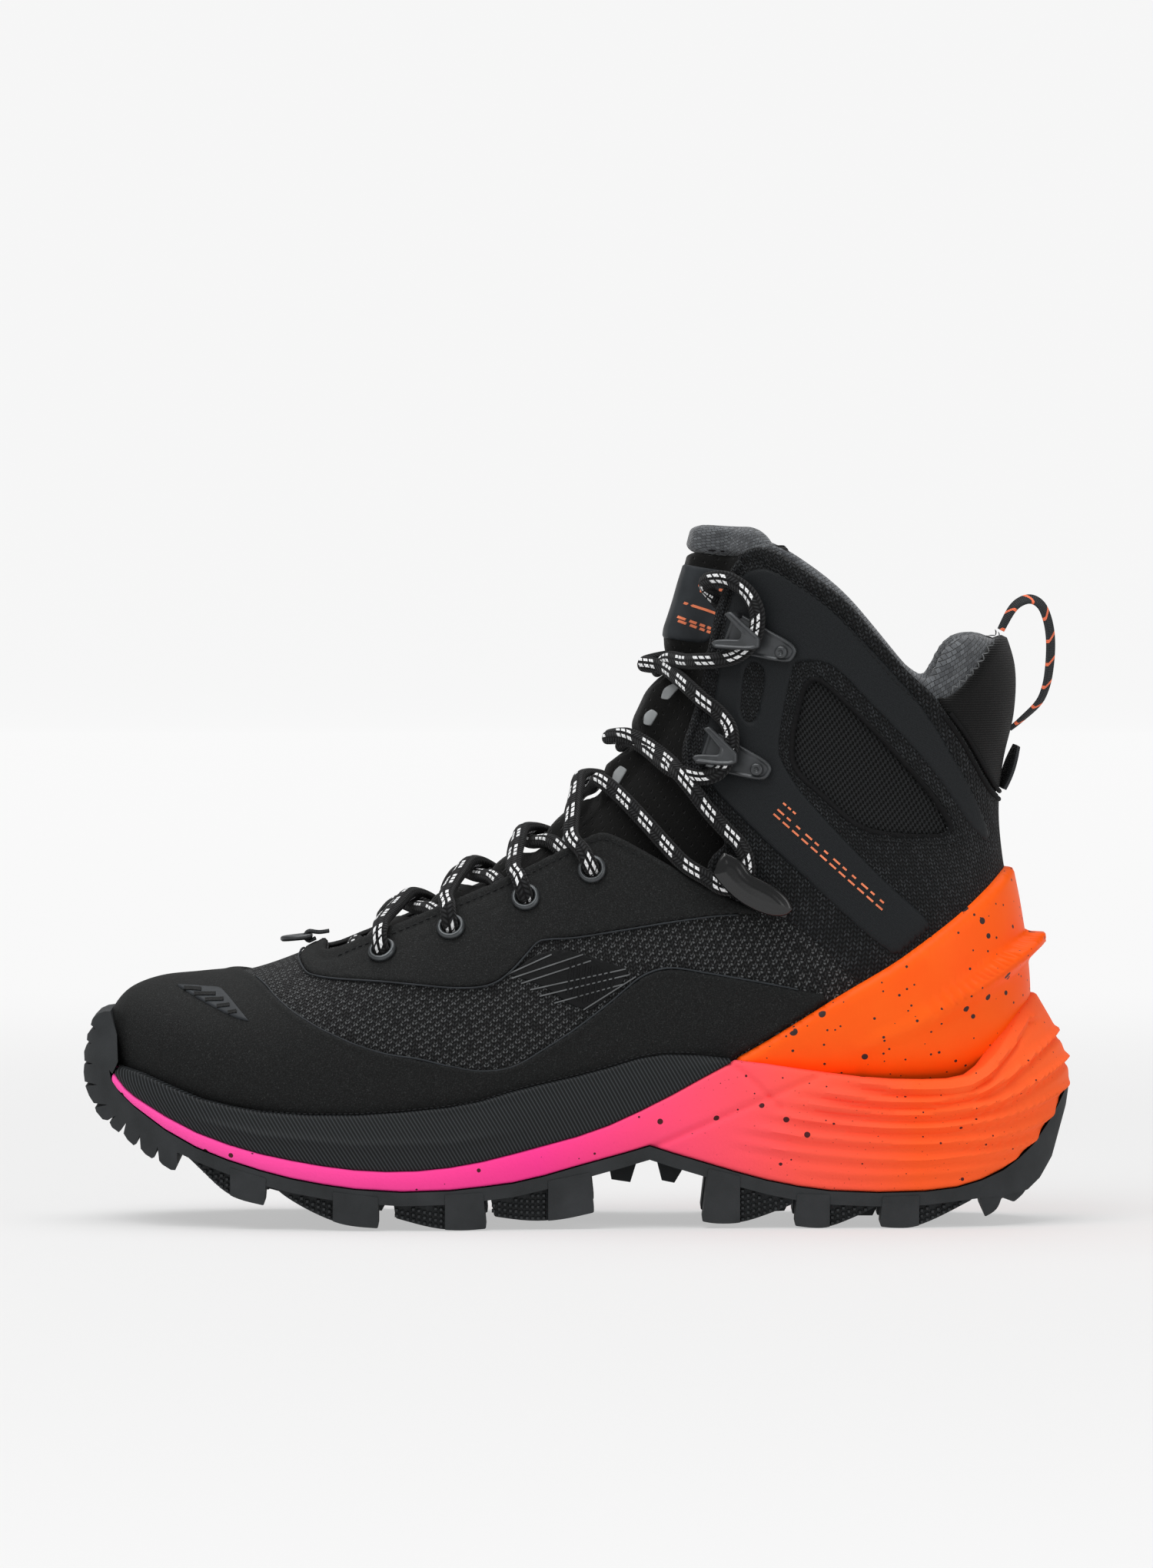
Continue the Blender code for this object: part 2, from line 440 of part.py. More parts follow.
def layer(name, inner, outer, look):
    """A shell of the form between two depths, each a number or a function of s and a, open at the top."""
    s, a = grid()
    rows, columns = s.shape
    points, tips = [], []
    for d in (outer, inner):
        depth = d(s, a) if callable(d) else np.full(s.shape, float(d))
        points.append(skin(s, a, depth).reshape(-1, 3))
        tips.append(form(0.0, 0.0) - np.array([depth[0].mean(), 0, 0]))
    n = rows * columns
    faces = []
    for k in (0, 1):
        at = k * n
        faces += lattice(rows, columns, at)
        faces += [(2 * n + k, at + (j + 1) % columns, at + j) for j in range(columns)]
    top = (rows - 1) * columns
    faces += [(top + j, top + (j + 1) % columns, n + top + (j + 1) % columns, n + top + j)
              for j in range(columns)]
    return new_object(name, [*points[0], *points[1], *tips], faces, look)


def slab(name, outline, side, d0, d1, look=None):
    """A plate that follows the skin between two depths."""
    x, z = np.array(outline, float).T
    low, high = on_skin(x, z, side, d0), on_skin(x, z, side, d1)
    n = len(outline)
    faces = [tuple(range(n)), tuple(range(n, 2 * n))]
    faces += [(i, (i + 1) % n, n + (i + 1) % n, n + i) for i in range(n)]
    return new_object(name, [*low, *high], faces, look)


def band(name, path, thickness, y0, y1, look):
    """A strap that follows a side-view path."""
    outer, inner = offset_line(path, thickness / 2), offset_line(path, -thickness / 2)
    outline = [*outer, *reversed(inner)]
    n, m = len(outline), len(path)
    points = [(x, y0, z) for x, z in outline] + [(x, y1, z) for x, z in outline]
    faces = []
    for i in range(m - 1):
        j = n - 1 - i
        faces += [(i, i + 1, j - 1, j), (n + i, n + i + 1, n + j - 1, n + j)]
    faces += [(i, (i + 1) % n, n + (i + 1) % n, n + i) for i in range(n)]
    return new_object(name, points, faces, look)


def turned(name, profile, place, axis, look, count=12):
    """A ring turned round axis: profile holds radius and height pairs, and closes on itself."""
    towards = Vector(axis).normalized()
    across = towards.orthogonal().normalized()
    third = towards.cross(across)
    points = []
    for k in range(count):
        angle = 2 * math.pi * k / count
        out = across * math.cos(angle) + third * math.sin(angle)
        points += [Vector(place) + out * r + towards * h for r, h in profile]
    n = len(profile)
    faces = [(k * n + i, k * n + (i + 1) % n, ((k + 1) % count) * n + (i + 1) % n, ((k + 1) % count) * n + i)
             for k in range(count) for i in range(n)]
    return new_object(name, points, faces, look)


def disc(name, place, axis, radius, h0, h1, look, count=12, dome=0.0):
    """A round plate along axis from h0 to h1, with an optional domed face."""
    towards = Vector(axis).normalized()
    across = towards.orthogonal().normalized()
    third = towards.cross(across)
    levels = [(radius, h0), (radius, h1 - dome), (radius * 0.55, h1)] if dome else [(radius, h0), (radius, h1)]
    points = []
    for r, h in levels:
        for k in range(count):
            angle = 2 * math.pi * k / count
            points.append(Vector(place) + (across * math.cos(angle) + third * math.sin(angle)) * r + towards * h)
    faces = [tuple(range(count)), tuple(range((len(levels) - 1) * count, len(levels) * count))]
    for level in range(len(levels) - 1):
        at = level * count
        faces += [(at + k, at + (k + 1) % count, at + count + (k + 1) % count, at + count + k)
                  for k in range(count)]
    return new_object(name, points, faces, look)


def tube(name, points, radius, look=None, cyclic=False, resolution=2):
    """A curve object with a round section and closed ends."""
    curve = bpy.data.curves.new(name, "CURVE")
    curve.dimensions = "3D"
    spline = curve.splines.new("POLY")
    spline.points.add(len(points) - 1)
    for p, q in zip(spline.points, points):
        p.co = (*(float(v) * MM for v in q), 1)
    spline.use_cyclic_u = cyclic
    curve.bevel_depth = radius * MM
    curve.bevel_resolution = resolution
    curve.use_fill_caps = not cyclic
    if look:
        curve.materials.append(material(look, *MATERIALS[look]))
    obj = bpy.data.objects.new(name, curve)
    bpy.context.scene.collection.objects.link(obj)
    return obj


def hole(obj, place, axis, radius, h0, h1):
    return combine(obj, disc("cutter", place, axis, radius, h0, h1, None, 12), "DIFFERENCE")


# ================================================================ depths that vary over the form
def height_of(s, a):
    return form(s, a)[..., 2]


def collar_share(s, a):
    """0 in the foot to 1 in the padded collar."""
    p = form(s, a)
    return smooth((p[..., 2] - 112 - 0.30 * (130 - p[..., 0])) / 34) * smooth((p[..., 0] - 62) / 22)


def lining_outer(s, a):
    x = form(s, a)[..., 0]
    stiffened = np.maximum(smooth((-70 - x) / 14), smooth((x - 40) / 24))
    return -(LINING_DEPTH + UNDER_STIFFENER * stiffened + COLLAR_FOAM * collar_share(s, a))


def lining_inner(s, a):
    return lining_outer(s, a) - LINING_T


def shaft_share(s, a):
    return smooth((height_of(s, a) - 130) / 40)


def tongue_outer(s, a):
    """Pressed in under the laces, deeper where its wings run behind the quarters, and full at the top."""
    share = shaft_share(s, a)
    y = np.abs(form(s, a)[..., 1])
    wing = TONGUE_WING_FOOT + (TONGUE_WING_SHAFT - TONGUE_WING_FOOT) * share
    ridge = TONGUE_RIDGE + (2.3 - TONGUE_RIDGE) * smooth((height_of(s, 0 * a) - 186) / 8)
    return -(ridge + (wing - ridge) * smooth((y - 8) / 11))


def tongue_inner(s, a):
    return tongue_outer(s, a) - (TONGUE_T_FOOT + (TONGUE_T_SHAFT - TONGUE_T_FOOT) * shaft_share(s, a))


# ================================================================ the sole unit
def sole_envelope(grow=0.0):
    """The outside of the sole unit, lofted through level outlines."""
    plan = np.array(SOLE_PLAN, float)
    steps = np.linspace(0, len(plan) - 1, 30)
    x, lateral, medial = catmull(plan, steps).T
    loop_x = np.concatenate([x, x[-2:0:-1]])
    loop_y = np.concatenate([lateral, medial[-2:0:-1]])
    rings = []
    for z, toe, heel, width in SOLE_LEVELS:
        ring_x = np.where(loop_x < 0, loop_x * toe / plan[0, 0], loop_x * heel / plan[-1, 0])
        rings.append(np.stack([ring_x, loop_y * width * (1 + grow / 50), np.full(len(loop_x), z)], 1))
    n = len(loop_x)
    faces = [tuple(range(n)), tuple(range((len(rings) - 1) * n, len(rings) * n))]
    for k in range(len(rings) - 1):
        faces += [(k * n + i, k * n + (i + 1) % n, (k + 1) * n + (i + 1) % n, (k + 1) * n + i) for i in range(n)]
    return new_object("cutter", [p for ring in rings for p in ring], faces)


def lowered(line, by):
    return [(x, z - by) for x, z in line]


def make_outsole():
    tread = [(x, z - TREAD_T) for x, z in OUTSOLE_TOP if -124 < x < 126]
    body = [*TOE_BUMPER, *lowered(OUTSOLE_TOP, GAP), *HEEL_WRAP, *reversed(tread)]
    outsole = keep(sole_envelope(), body)
    plan = np.array(SOLE_PLAN, float)
    for number, lug in enumerate(SIDE_LUGS):
        middle = sum(x for x, _ in lug) / len(lug)
        for side, column in ((LATERAL, 1), (MEDIAL, 2)):
            edge = float(np.interp(middle, plan[:, 0], plan[:, column]))
            inner = edge - side * (LUG_DEPTH_Y if number < 7 else edge * side - 0.8)
            block = keep(sole_envelope(0.5), lug, *sorted((edge + side * 20, inner)))
            outsole = combine(outsole, block, "UNION")
    for lug in CENTRE_LUGS:
        outsole = combine(outsole, prism(lug, *CENTRE_LUG_Y), "UNION")
    outsole.name = "outsole"
    outsole = combine(outsole, form_solid(SOLE_CLEAR), "DIFFERENCE")
    outsole.data.materials.append(material("rubber", *MATERIALS["rubber"]))
    return outsole


def make_shank():
    shank = layer("shank", 0.7, 2.0, "board")
    return keep(shank, [(-22, 10), (84, 10), (84, 44), (40, 41), (-22, 31.5)], -11, 11)


def filling(grow, above=0.0):
    """The midsole foam inside the rand."""
    low = [(x, z + 1) for x, z in OUTSOLE_TOP if -132 < x < 25]
    high = [(x, z - 0.6 + above) for x, z in RAND_TOP if -132 < x < 25]
    return keep(sole_envelope(grow), [*low, (58, 30 - above), (58, 48 + above), *reversed(high)])


def make_midsole():
    body = [*OUTSOLE_TOP, *reversed(lowered(CRADLE_FOOT, GAP)), *reversed(lowered(MIDSOLE_TOP[:-1], GAP))]
    midsole = keep(sole_envelope(), body)
    midsole = combine(midsole, filling(SOLE_FILL), "UNION")
    midsole = combine(midsole, form_solid(SOLE_CLEAR), "DIFFERENCE")
    pocket = keep(form_solid(2.4), [(-22.5, 10), (84.5, 10), (84.5, 60), (-22.5, 60)], -11.5, 11.5)
    midsole = combine(midsole, pocket, "DIFFERENCE")
    midsole.name = "midsole"
    midsole.data.materials.append(material("foam", *MATERIALS["foam"]))
    return midsole


def make_rand():
    body = [*MIDSOLE_TOP, *reversed(RAND_TOP)]
    rand = keep(sole_envelope(), body)
    rand = combine(rand, filling(SOLE_FILL + GAP, 30), "DIFFERENCE")
    rand = combine(rand, form_solid(SOLE_CLEAR), "DIFFERENCE")
    rand.name = "rand"
    rand.data.materials.append(material("rand", *MATERIALS["rand"]))
    return rand


def fin_height(s, a):
    """How far the cradle's fin stands out, growing towards the back."""
    return 3.4 + 6.0 * smooth((form(s, a)[..., 0] - 96) / 44)


def make_heel_cradle():
    foot = [(x, z + 0.1) for x, z in CRADLE_FOOT]
    cradle = keep(layer("heel_cradle", OVERLAY[0], 3.6, "tpu"), [*CRADLE_TOP, (160, 113), *reversed(foot)])
    fin = keep(layer("fin", 1.4, fin_height, None), [*FIN_TOP, *FIN_FOOT])
    return combine(cradle, fin, "UNION")


# ================================================================ the upper's layers
def upper_outline():
    return [(-170, 0), (-170, 95), (-79.5, 95), *THROAT, *QUARTER_FRONT, *COLLAR, *COLLAR_STRIP,
            (160, 131), (160, 0)]


def make_upper():
    upper = keep(layer("upper_shell", *UPPER, "knit"), upper_outline())
    upper = cut(upper, WINDOW)
    for side in SIDES:
        for x, z in EYELETS:
            s, a = locate(x, z, side)
            upper = hole(upper, skin(s, a, 0), normals(s, a), EYELET_BARREL + GAP, -6, 6)
    return upper


def make_heel_collar():
    outline = [(112.7, 169.2), *[(x + 0.3, z + 0.3) for x, z in COLLAR_STRIP], (165, 133), (165, 188),
               *reversed(HEEL_COLLAR)]
    return keep(layer("heel_collar_panel", *UPPER, "tongue"), outline)


def make_windows():
    for side, label in SIDES.items():
        keep(layer(f"ankle_window_{label}", -1.6, -0.7, "window"), inset(WINDOW, GAP), *side_range(side))


def make_guard():
    feather = [(x, z + 3.5) for x, z in sole_line() if -146 < x < 46]
    foot = [(79, 71.4), (70, 65.8), (60, 59.6), (49.7, 53.9), (49.7, 42), *reversed(feather), (-170, 54),
            (-170, 90)]
    return keep(layer("toe_guard", *OVERLAY, "film"), [*GUARD_TOP, *foot])


def make_eyestays():
    outline = [(-79.5, 95), *THROAT, (50, 103.3), (55, 101.2), *EYESTAY_FOOT]
    for side, label in SIDES.items():
        eyestay = keep(layer(f"eyestay_{label}", *OVERLAY, "film"), outline, *sorted((side * 0.2, side * FAR)))
        for x, z in EYELETS:
            s, a = locate(x, z, side)
            eyestay = hole(eyestay, skin(s, a, 0), normals(s, a), EYELET_BARREL + GAP, -6, 6)


def make_quarters():
    for side, label in SIDES.items():
        band_piece = keep(layer(f"quarter_band_{label}", *OVERLAY, "band"), QUARTER_BAND, *side_range(side))
        cut(band_piece, SLOT)


def make_stiffeners():
    toe = [*STIFF_TOE, (-170, 20), (-170, 86)]
    heel = [*STIFF_HEEL, (165, 122), (165, 30)]
    keep(layer("toe_puff", *STIFFENER, "stiffener"), toe)
    keep(layer("heel_counter", *STIFFENER, "stiffener"), heel)


def make_foam():
    def inner(s, a):
        return np.minimum(lining_outer(s, a) + GAP, -2.6)

    under_roll = [(x, z - 2.7) for x, z in LINING_RIM[3:-1]]
    outline = [*under_roll, (160, 184), (160, 126), *reversed(FOAM_FOOT)]
    return keep(layer("collar_foam", inner, -LINING_DEPTH, "padding"), outline)


def sole_line():
    """The lowest line of the form in side view."""
    t = np.linspace(0.6, 17.4, 30)
    return [(float(p[0]), float(p[2])) for p in form(t, np.full(t.shape, math.pi))]


def make_board_and_lining():
    line = sole_line()
    under = [*[(x, z + BOARD_RISE) for x, z in line], (150, 10), (-165, 10)]
    keep(layer("lasting_board", -4.9, -3.4, "board"), under)
    rim = [(-165, 100), (-86, 100), *LINING_THROAT, *LINING_RIM, (165, 185), (165, 0), (-165, 0)]
    lining = keep(layer("lining", lining_inner, lining_outer, "lining"), rim)
    edge = [(x - 0.2, z - 0.25) for x, z in LINING_RIM[3:-1]]
    strip = [*edge, *reversed([(x, z - 1.7) for x, z in edge])]
    roll = keep(layer("roll", lambda s, a: lining_inner(s, a) + 0.45, -LINING_DEPTH, None), strip)
    lining = combine(lining, roll, "UNION")
    over = [*[(x, z + BOARD_RISE + GAP) for x, z in line], (165, 5), (-175, 5)]
    cut(lining, over)


def make_insole():
    line = sole_line()
    under = [*[(x, z + INSOLE_RISE) for x, z in line if -141 < x < 131], (131.5, 10), (-142, 10)]
    return keep(layer("insole", -5.5 - INSOLE_T, -5.5, "lining"), under)


def make_tongue():
    body = [(-90, 96), *TONGUE_FOOT, *TONGUE_TOP, (0, 215), (-90, 110)]
    keep(layer("tongue", tongue_inner, tongue_outer, "tongue"), body)
    cap = [(61.5, 214.9), *TONGUE_CAP_TOP]
    keep(layer("tongue_cap", tongue_inner, tongue_outer, "lining"), cap)
    patch = [(20, 186.5), (34.5, 186), (38.5, 190), (40, 208), (30, 210), (20, 210)]
    keep(layer("tongue_label", -2.0, -1.2, "label"), patch)


# ================================================================ lacing
def make_eyelets():
    profile = ((EYELET_BORE, EYELET_END), (EYELET_BORE, EYELET_TOP - 0.5), (EYELET_BORE + 0.5, EYELET_TOP),
               (EYELET_FLANGE - 0.6, EYELET_TOP), (EYELET_FLANGE, EYELET_BRIM), (EYELET_BARREL, EYELET_BRIM),
               (EYELET_BARREL, EYELET_END))
    for side, label in SIDES.items():
        for number, (x, z) in enumerate(EYELETS, 1):
            s, a = locate(x, z, side)
            turned(f"eyelet_{label}_{number}", profile, skin(s, a, 0), normals(s, a), "hardware")


def make_hook(name, side, plate, top, legs, rivet, shift=(0.0, 0.0)):
    hook = slab(name, shifted(plate, shift), side, *HOOK_BASE, "hardware")
    for leg in legs:
        foot = slab("cutter", inset(shifted(leg, shift), 0.4), side, HOOK_BASE[0] + 0.4, HOOK_TOP[1] - 0.4)
        hook = combine(hook, foot, "UNION")
    hook = combine(hook, slab("cutter", shifted(top, shift), side, *HOOK_TOP), "UNION")
    x, z = shifted([rivet], shift)[0]
    s, a = locate(x, z, side)
    head = disc(name.replace("hook", "hook_rivet").replace("keeper", "keeper_rivet"), skin(s, a, 0),
                normals(s, a), RIVET_R, HOOK_BASE[1] + 0.45, HOOK_BASE[1] + 0.45 + RIVET_HEAD_T, "hardware",
                12, 0.35)
    return hook, head


def make_hooks():
    for side, label in SIDES.items():
        make_hook(f"speed_hook_{label}_upper", side, HOOK_PLATE, HOOK_APEX_ARM, HOOK_LEGS, HOOK_RIVET)
        make_hook(f"speed_hook_{label}_lower", side, HOOK_PLATE, HOOK_APEX_ARM, HOOK_LEGS, HOOK_RIVET,
                  LOWER_HOOK_SHIFT)
        make_hook(f"lace_keeper_{label}", side, KEEPER_PLATE, KEEPER_COVER, (KEEPER_LEG,), KEEPER_RIVET)


OVER_EDGE, UNDER_EDGE = 4.3, -4.6       # the lace's centre above and below the edge of the eyestay
RIDGE_TOP, RIDGE_LOW = 0.25, -4.6        # its centre on the ridge, for the upper and the lower strand
UNDER_HOOK = 6.0
# each crossing: where it leaves one side, x on the ridge, where it reaches the other side
EYELET_CROSSINGS = (((-60, 93.2), -53, (-43.5, 100.4)), ((-40, 102), -33.5, (-23.5, 109.0)),
                    ((-19, 111.2), -16.5, (-3.5, 119.0)))


def ridge_station(x):
    t = np.linspace(0, len(RIBS) - 1, 2000)
    return float(np.interp(x, form(t, 0 * t)[:, 0], t))


def run(start, end, depths):
    """Lace points from one place on the form to another, at evenly spaced depths in between."""
    t = np.linspace(0, 1, len(depths))
    s = start[0] + (end[0] - start[0]) * t
    a = start[1] + (end[1] - start[1]) * t
    return list(skin(s, a, np.array(depths, float)))


def at(x, z, side):
    s, a = locate(x, z, side)
    return float(s), float(a)


def through_eyelet(x, z, side, towards):
    """From under the eyestay up through an eyelet, then back over its brim towards a place on the edge."""
    s, a = locate(x, z, side)
    centre, normal = skin(s, a, 0), normals(s, a)
    edge = on_skin(*towards, side, 0) - centre
    edge -= normal * (edge @ normal)
    edge /= np.linalg.norm(edge)
    path = ((3.0, -4.9), (0.9, -4.0), (0.0, -1.8), (0.0, 2.2), (0.9, 4.5), (3.4, 5.6), (6.2, 5.1))
    return [centre + edge * along + normal * height for along, height in path]


def lace_half(side, upper_strand):
    """One end of the lace from the first bar up to its aglet, starting on this side."""
    points = []
    for k, (leave, ridge, reach) in enumerate(EYELET_CROSSINGS):
        x, z = EYELETS[k]
        points += through_eyelet(x, z, side, leave)
        top = RIDGE_TOP if upper_strand[k] else RIDGE_LOW
        peak = (ridge_station(ridge), 0.0)
        points += run(at(*leave, side), peak, (OVER_EDGE - 0.2, max(top, 1.0), top))
        points += run(peak, at(*reach, -side), (top, (top + UNDER_EDGE) / 2 - 0.6, UNDER_EDGE))[1:]
        side = -side
    x, z = EYELETS[3]
    points += through_eyelet(x, z, side, (0.5, 120.5))
    top = RIDGE_TOP if upper_strand[3] else RIDGE_LOW
    peak = (ridge_station(1.5), 0.0)
    points += run(at(-0.5, 121.5, side), peak, (OVER_EDGE - 0.2, 1.4, max(top, -2.0), top))
    points += run(peak, at(33, 115.6, -side), (top, -2.6, -3.8, -3.0, 1.4))[1:]
    side = -side
    keeper = ((41, 110.2, 4.3), (46, 107.2, 5.6), (50.5, 107.4, UNDER_HOOK), (53.6, 111.0, UNDER_HOOK),
              (53.6, 115.8, UNDER_HOOK), (51.5, 120.6, 5.0), (46.6, 125.8, 4.0), (42.0, 131.0, 4.0),
              (37.4, 137.2, 4.3), (33.0, 142.6, 3.7))
    points += [on_skin(x, z, side, d) for x, z, d in keeper]
    top = RIDGE_TOP if upper_strand[4] else RIDGE_LOW
    peak = (ridge_station(10.4), 0.0)
    points += run(at(28.6, 147.4, side), peak, (-1.2, -4.4, min(top, -2.5), top))
    points += run(peak, at(29, 145.2, -side), (top, -4.4, -4.4, 0.2))[1:]
    side = -side
    lower = ((35.0, 142.2, 3.2), (40.5, 141.2, 4.6), (45.4, 142.6, UNDER_HOOK), (48.6, 146.8, UNDER_HOOK),
             (50.2, 152.0, UNDER_HOOK), (49.6, 157.6, 5.2), (46.0, 162.2, 4.1), (41.0, 166.2, 3.9),
             (36.5, 170.0, 2.4))
    points += [on_skin(x, z, side, d) for x, z, d in lower]
    top = RIDGE_TOP if upper_strand[5] else RIDGE_LOW
    peak = (ridge_station(21.6), 0.0)
    points += run(at(31.5, 173.5, side), peak, (-1.0, -4.0, top))
    points += run(peak, at(34.0, 178.5, -side), (top, -4.0, -0.5))[1:]
    side = -side
    upper = ((40.0, 178.2, 3.4), (46.0, 178.6, 4.6), (52.4, 180.2, UNDER_HOOK), (56.8, 184.2, UNDER_HOOK),
             (58.8, 189.4, UNDER_HOOK), (58.6, 195.2, 5.2), (55.6, 200.6, 4.1), (50.6, 204.2, 4.1),
             (46.2, 204.6, 4.1))
    points += [on_skin(x, z, side, d) for x, z, d in upper]
    tucked = ((42.0, 203.0, 2.0), (41.4, 199.4, -3.4), (45.0, 194.5, -7.2), (51.0, 188.0, -7.6),
              (54.0, 178.0, -7.6), (56.0, 166.0, -7.6), (57.5, 152.0, -7.6), (59.0, 138.0, -7.6),
              (62.0, 122.0, -7.8))
    points += [on_skin(x, z, side, d) for x, z, d in tucked]
    return points, side


def thinned(line, within):
    """A dense line without the points that lie within this distance of the straight between their neighbours."""
    keep_point = np.zeros(len(line), bool)
    keep_point[[0, -1]] = True
    todo = [(0, len(line) - 1)]
    while todo:
        first, last = todo.pop()
        if last - first < 2:
            continue
        d = line[last] - line[first]
        rest = line[first + 1:last] - line[first]
        share = np.clip(rest @ d / max(d @ d, 1e-9), 0, 1)
        away = np.linalg.norm(rest - share[:, None] * d, axis=1)
        if away.max() > within:
            middle = first + 1 + int(away.argmax())
            keep_point[middle] = True
            todo += [(first, middle), (middle, last)]
    return line[keep_point]


def make_lace():
    first, end_a = lace_half(LATERAL, (True, False, True, False, True, False))
    second, end_b = lace_half(MEDIAL, (False, True, False, True, False, True))
    bar = [skin(ridge_station(-72.5), a, d) for a, d in ((-0.36, -4.4), (0.0, -4.6), (0.36, -4.4))]
    route = np.array([*reversed(first), *bar, *second])
    dense = catmull(route, np.linspace(0, len(route) - 1, 12 * len(route)))
    line = thinned(dense, 0.4)
    tube("lace", line, LACE_R, "lace", resolution=1)
    for label, tip, before in (("a", line[-1], line[-2]), ("b", line[0], line[1])):
        axis = (tip - before) / np.linalg.norm(tip - before)
        disc(f"aglet_{label}", tip + axis * GAP, axis, 1.7, 0, 20, "hardware", 10)


# ================================================================ small fittings
def make_ring():
    """A D-shaped lace ring, its straight bar lying across the boot."""
    x0, z0 = RING_HINGE
    arc = [(-math.sin(math.radians(t)) * RING_REACH, -math.cos(math.radians(t)) * RING_BAR)
           for t in range(0, 181, 20)]
    bar = [(0.0, y) for y in (RING_BAR * 0.5, 0.0, -RING_BAR * 0.5)]
    c, s = math.cos(math.radians(RING_TILT)), math.sin(math.radians(RING_TILT))
    points = [(x0 + reach * c, y, z0 - reach * s) for reach, y in arc + bar]
    tube("lace_ring", points, RING_WIRE, "hardware", cyclic=True)
    r = RING_WIRE + 0.3 + 0.35
    wrap = [(x0 + r * math.cos(math.radians(t)), z0 + r * math.sin(math.radians(t))) for t in range(80, 281, 25)]
    path = [(-78.9, 92.1), (-82.0, 91.7), *wrap, (-83.2, 89.8)]
    band("ring_webbing", path, 0.7, -3.4, 3.4, "webbing")


def make_loops():
    band("pull_loop", PULL_LOOP, PULL_LOOP_T, -PULL_LOOP_HALF, PULL_LOOP_HALF, "webbing")
    band("heel_tab", HEEL_TAB, HEEL_TAB_T, -HEEL_TAB_HALF, HEEL_TAB_HALF, "webbing")


def main():
    for old in list(bpy.data.objects):
        bpy.data.objects.remove(old)
    make_outsole()
    make_shank()
    make_midsole()
    make_rand()
    make_heel_cradle()
    make_upper()
    make_heel_collar()
    make_windows()
    make_guard()
    make_eyestays()
    make_quarters()
    make_stiffeners()
    make_foam()
    make_board_and_lining()
    make_insole()
    make_tongue()
    make_eyelets()
    make_hooks()
    make_lace()
    make_ring()
    make_loops()
    for obj in bpy.data.objects:
        obj.location = CENTRE


main()
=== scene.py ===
"""The looks of the hiking boot: fine surfaces, sewing, lace and materials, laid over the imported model.

Lengths are in millimetres until a mesh is made. The frame is the CAD's: toe to -X, lateral side to -Y.
"""
import math

import bmesh
import bpy
import numpy as np
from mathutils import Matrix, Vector
from mathutils.kdtree import KDTree


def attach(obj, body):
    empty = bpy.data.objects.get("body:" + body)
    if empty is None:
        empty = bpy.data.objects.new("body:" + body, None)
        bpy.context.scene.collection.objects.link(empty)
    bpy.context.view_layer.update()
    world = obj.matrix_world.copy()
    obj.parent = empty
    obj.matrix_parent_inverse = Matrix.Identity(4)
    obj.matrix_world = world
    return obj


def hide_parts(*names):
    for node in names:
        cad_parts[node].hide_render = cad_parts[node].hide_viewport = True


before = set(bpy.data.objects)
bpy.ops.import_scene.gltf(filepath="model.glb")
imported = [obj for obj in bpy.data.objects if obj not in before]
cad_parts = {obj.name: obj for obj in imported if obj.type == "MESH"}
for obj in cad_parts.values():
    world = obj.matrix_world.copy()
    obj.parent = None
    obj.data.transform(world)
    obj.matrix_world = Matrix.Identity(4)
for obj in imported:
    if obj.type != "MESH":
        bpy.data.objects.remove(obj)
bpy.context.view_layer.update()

MM = 0.001
LATERAL, MEDIAL = -1, 1
SIDES = {LATERAL: "lateral", MEDIAL: "medial"}
CENTRE = np.array([0.16, 1.5, 0.0])          # the CAD's own shift, which centres its box
HIDDEN = ("lasting_board", "toe_puff", "heel_counter", "shank", "collar_foam")

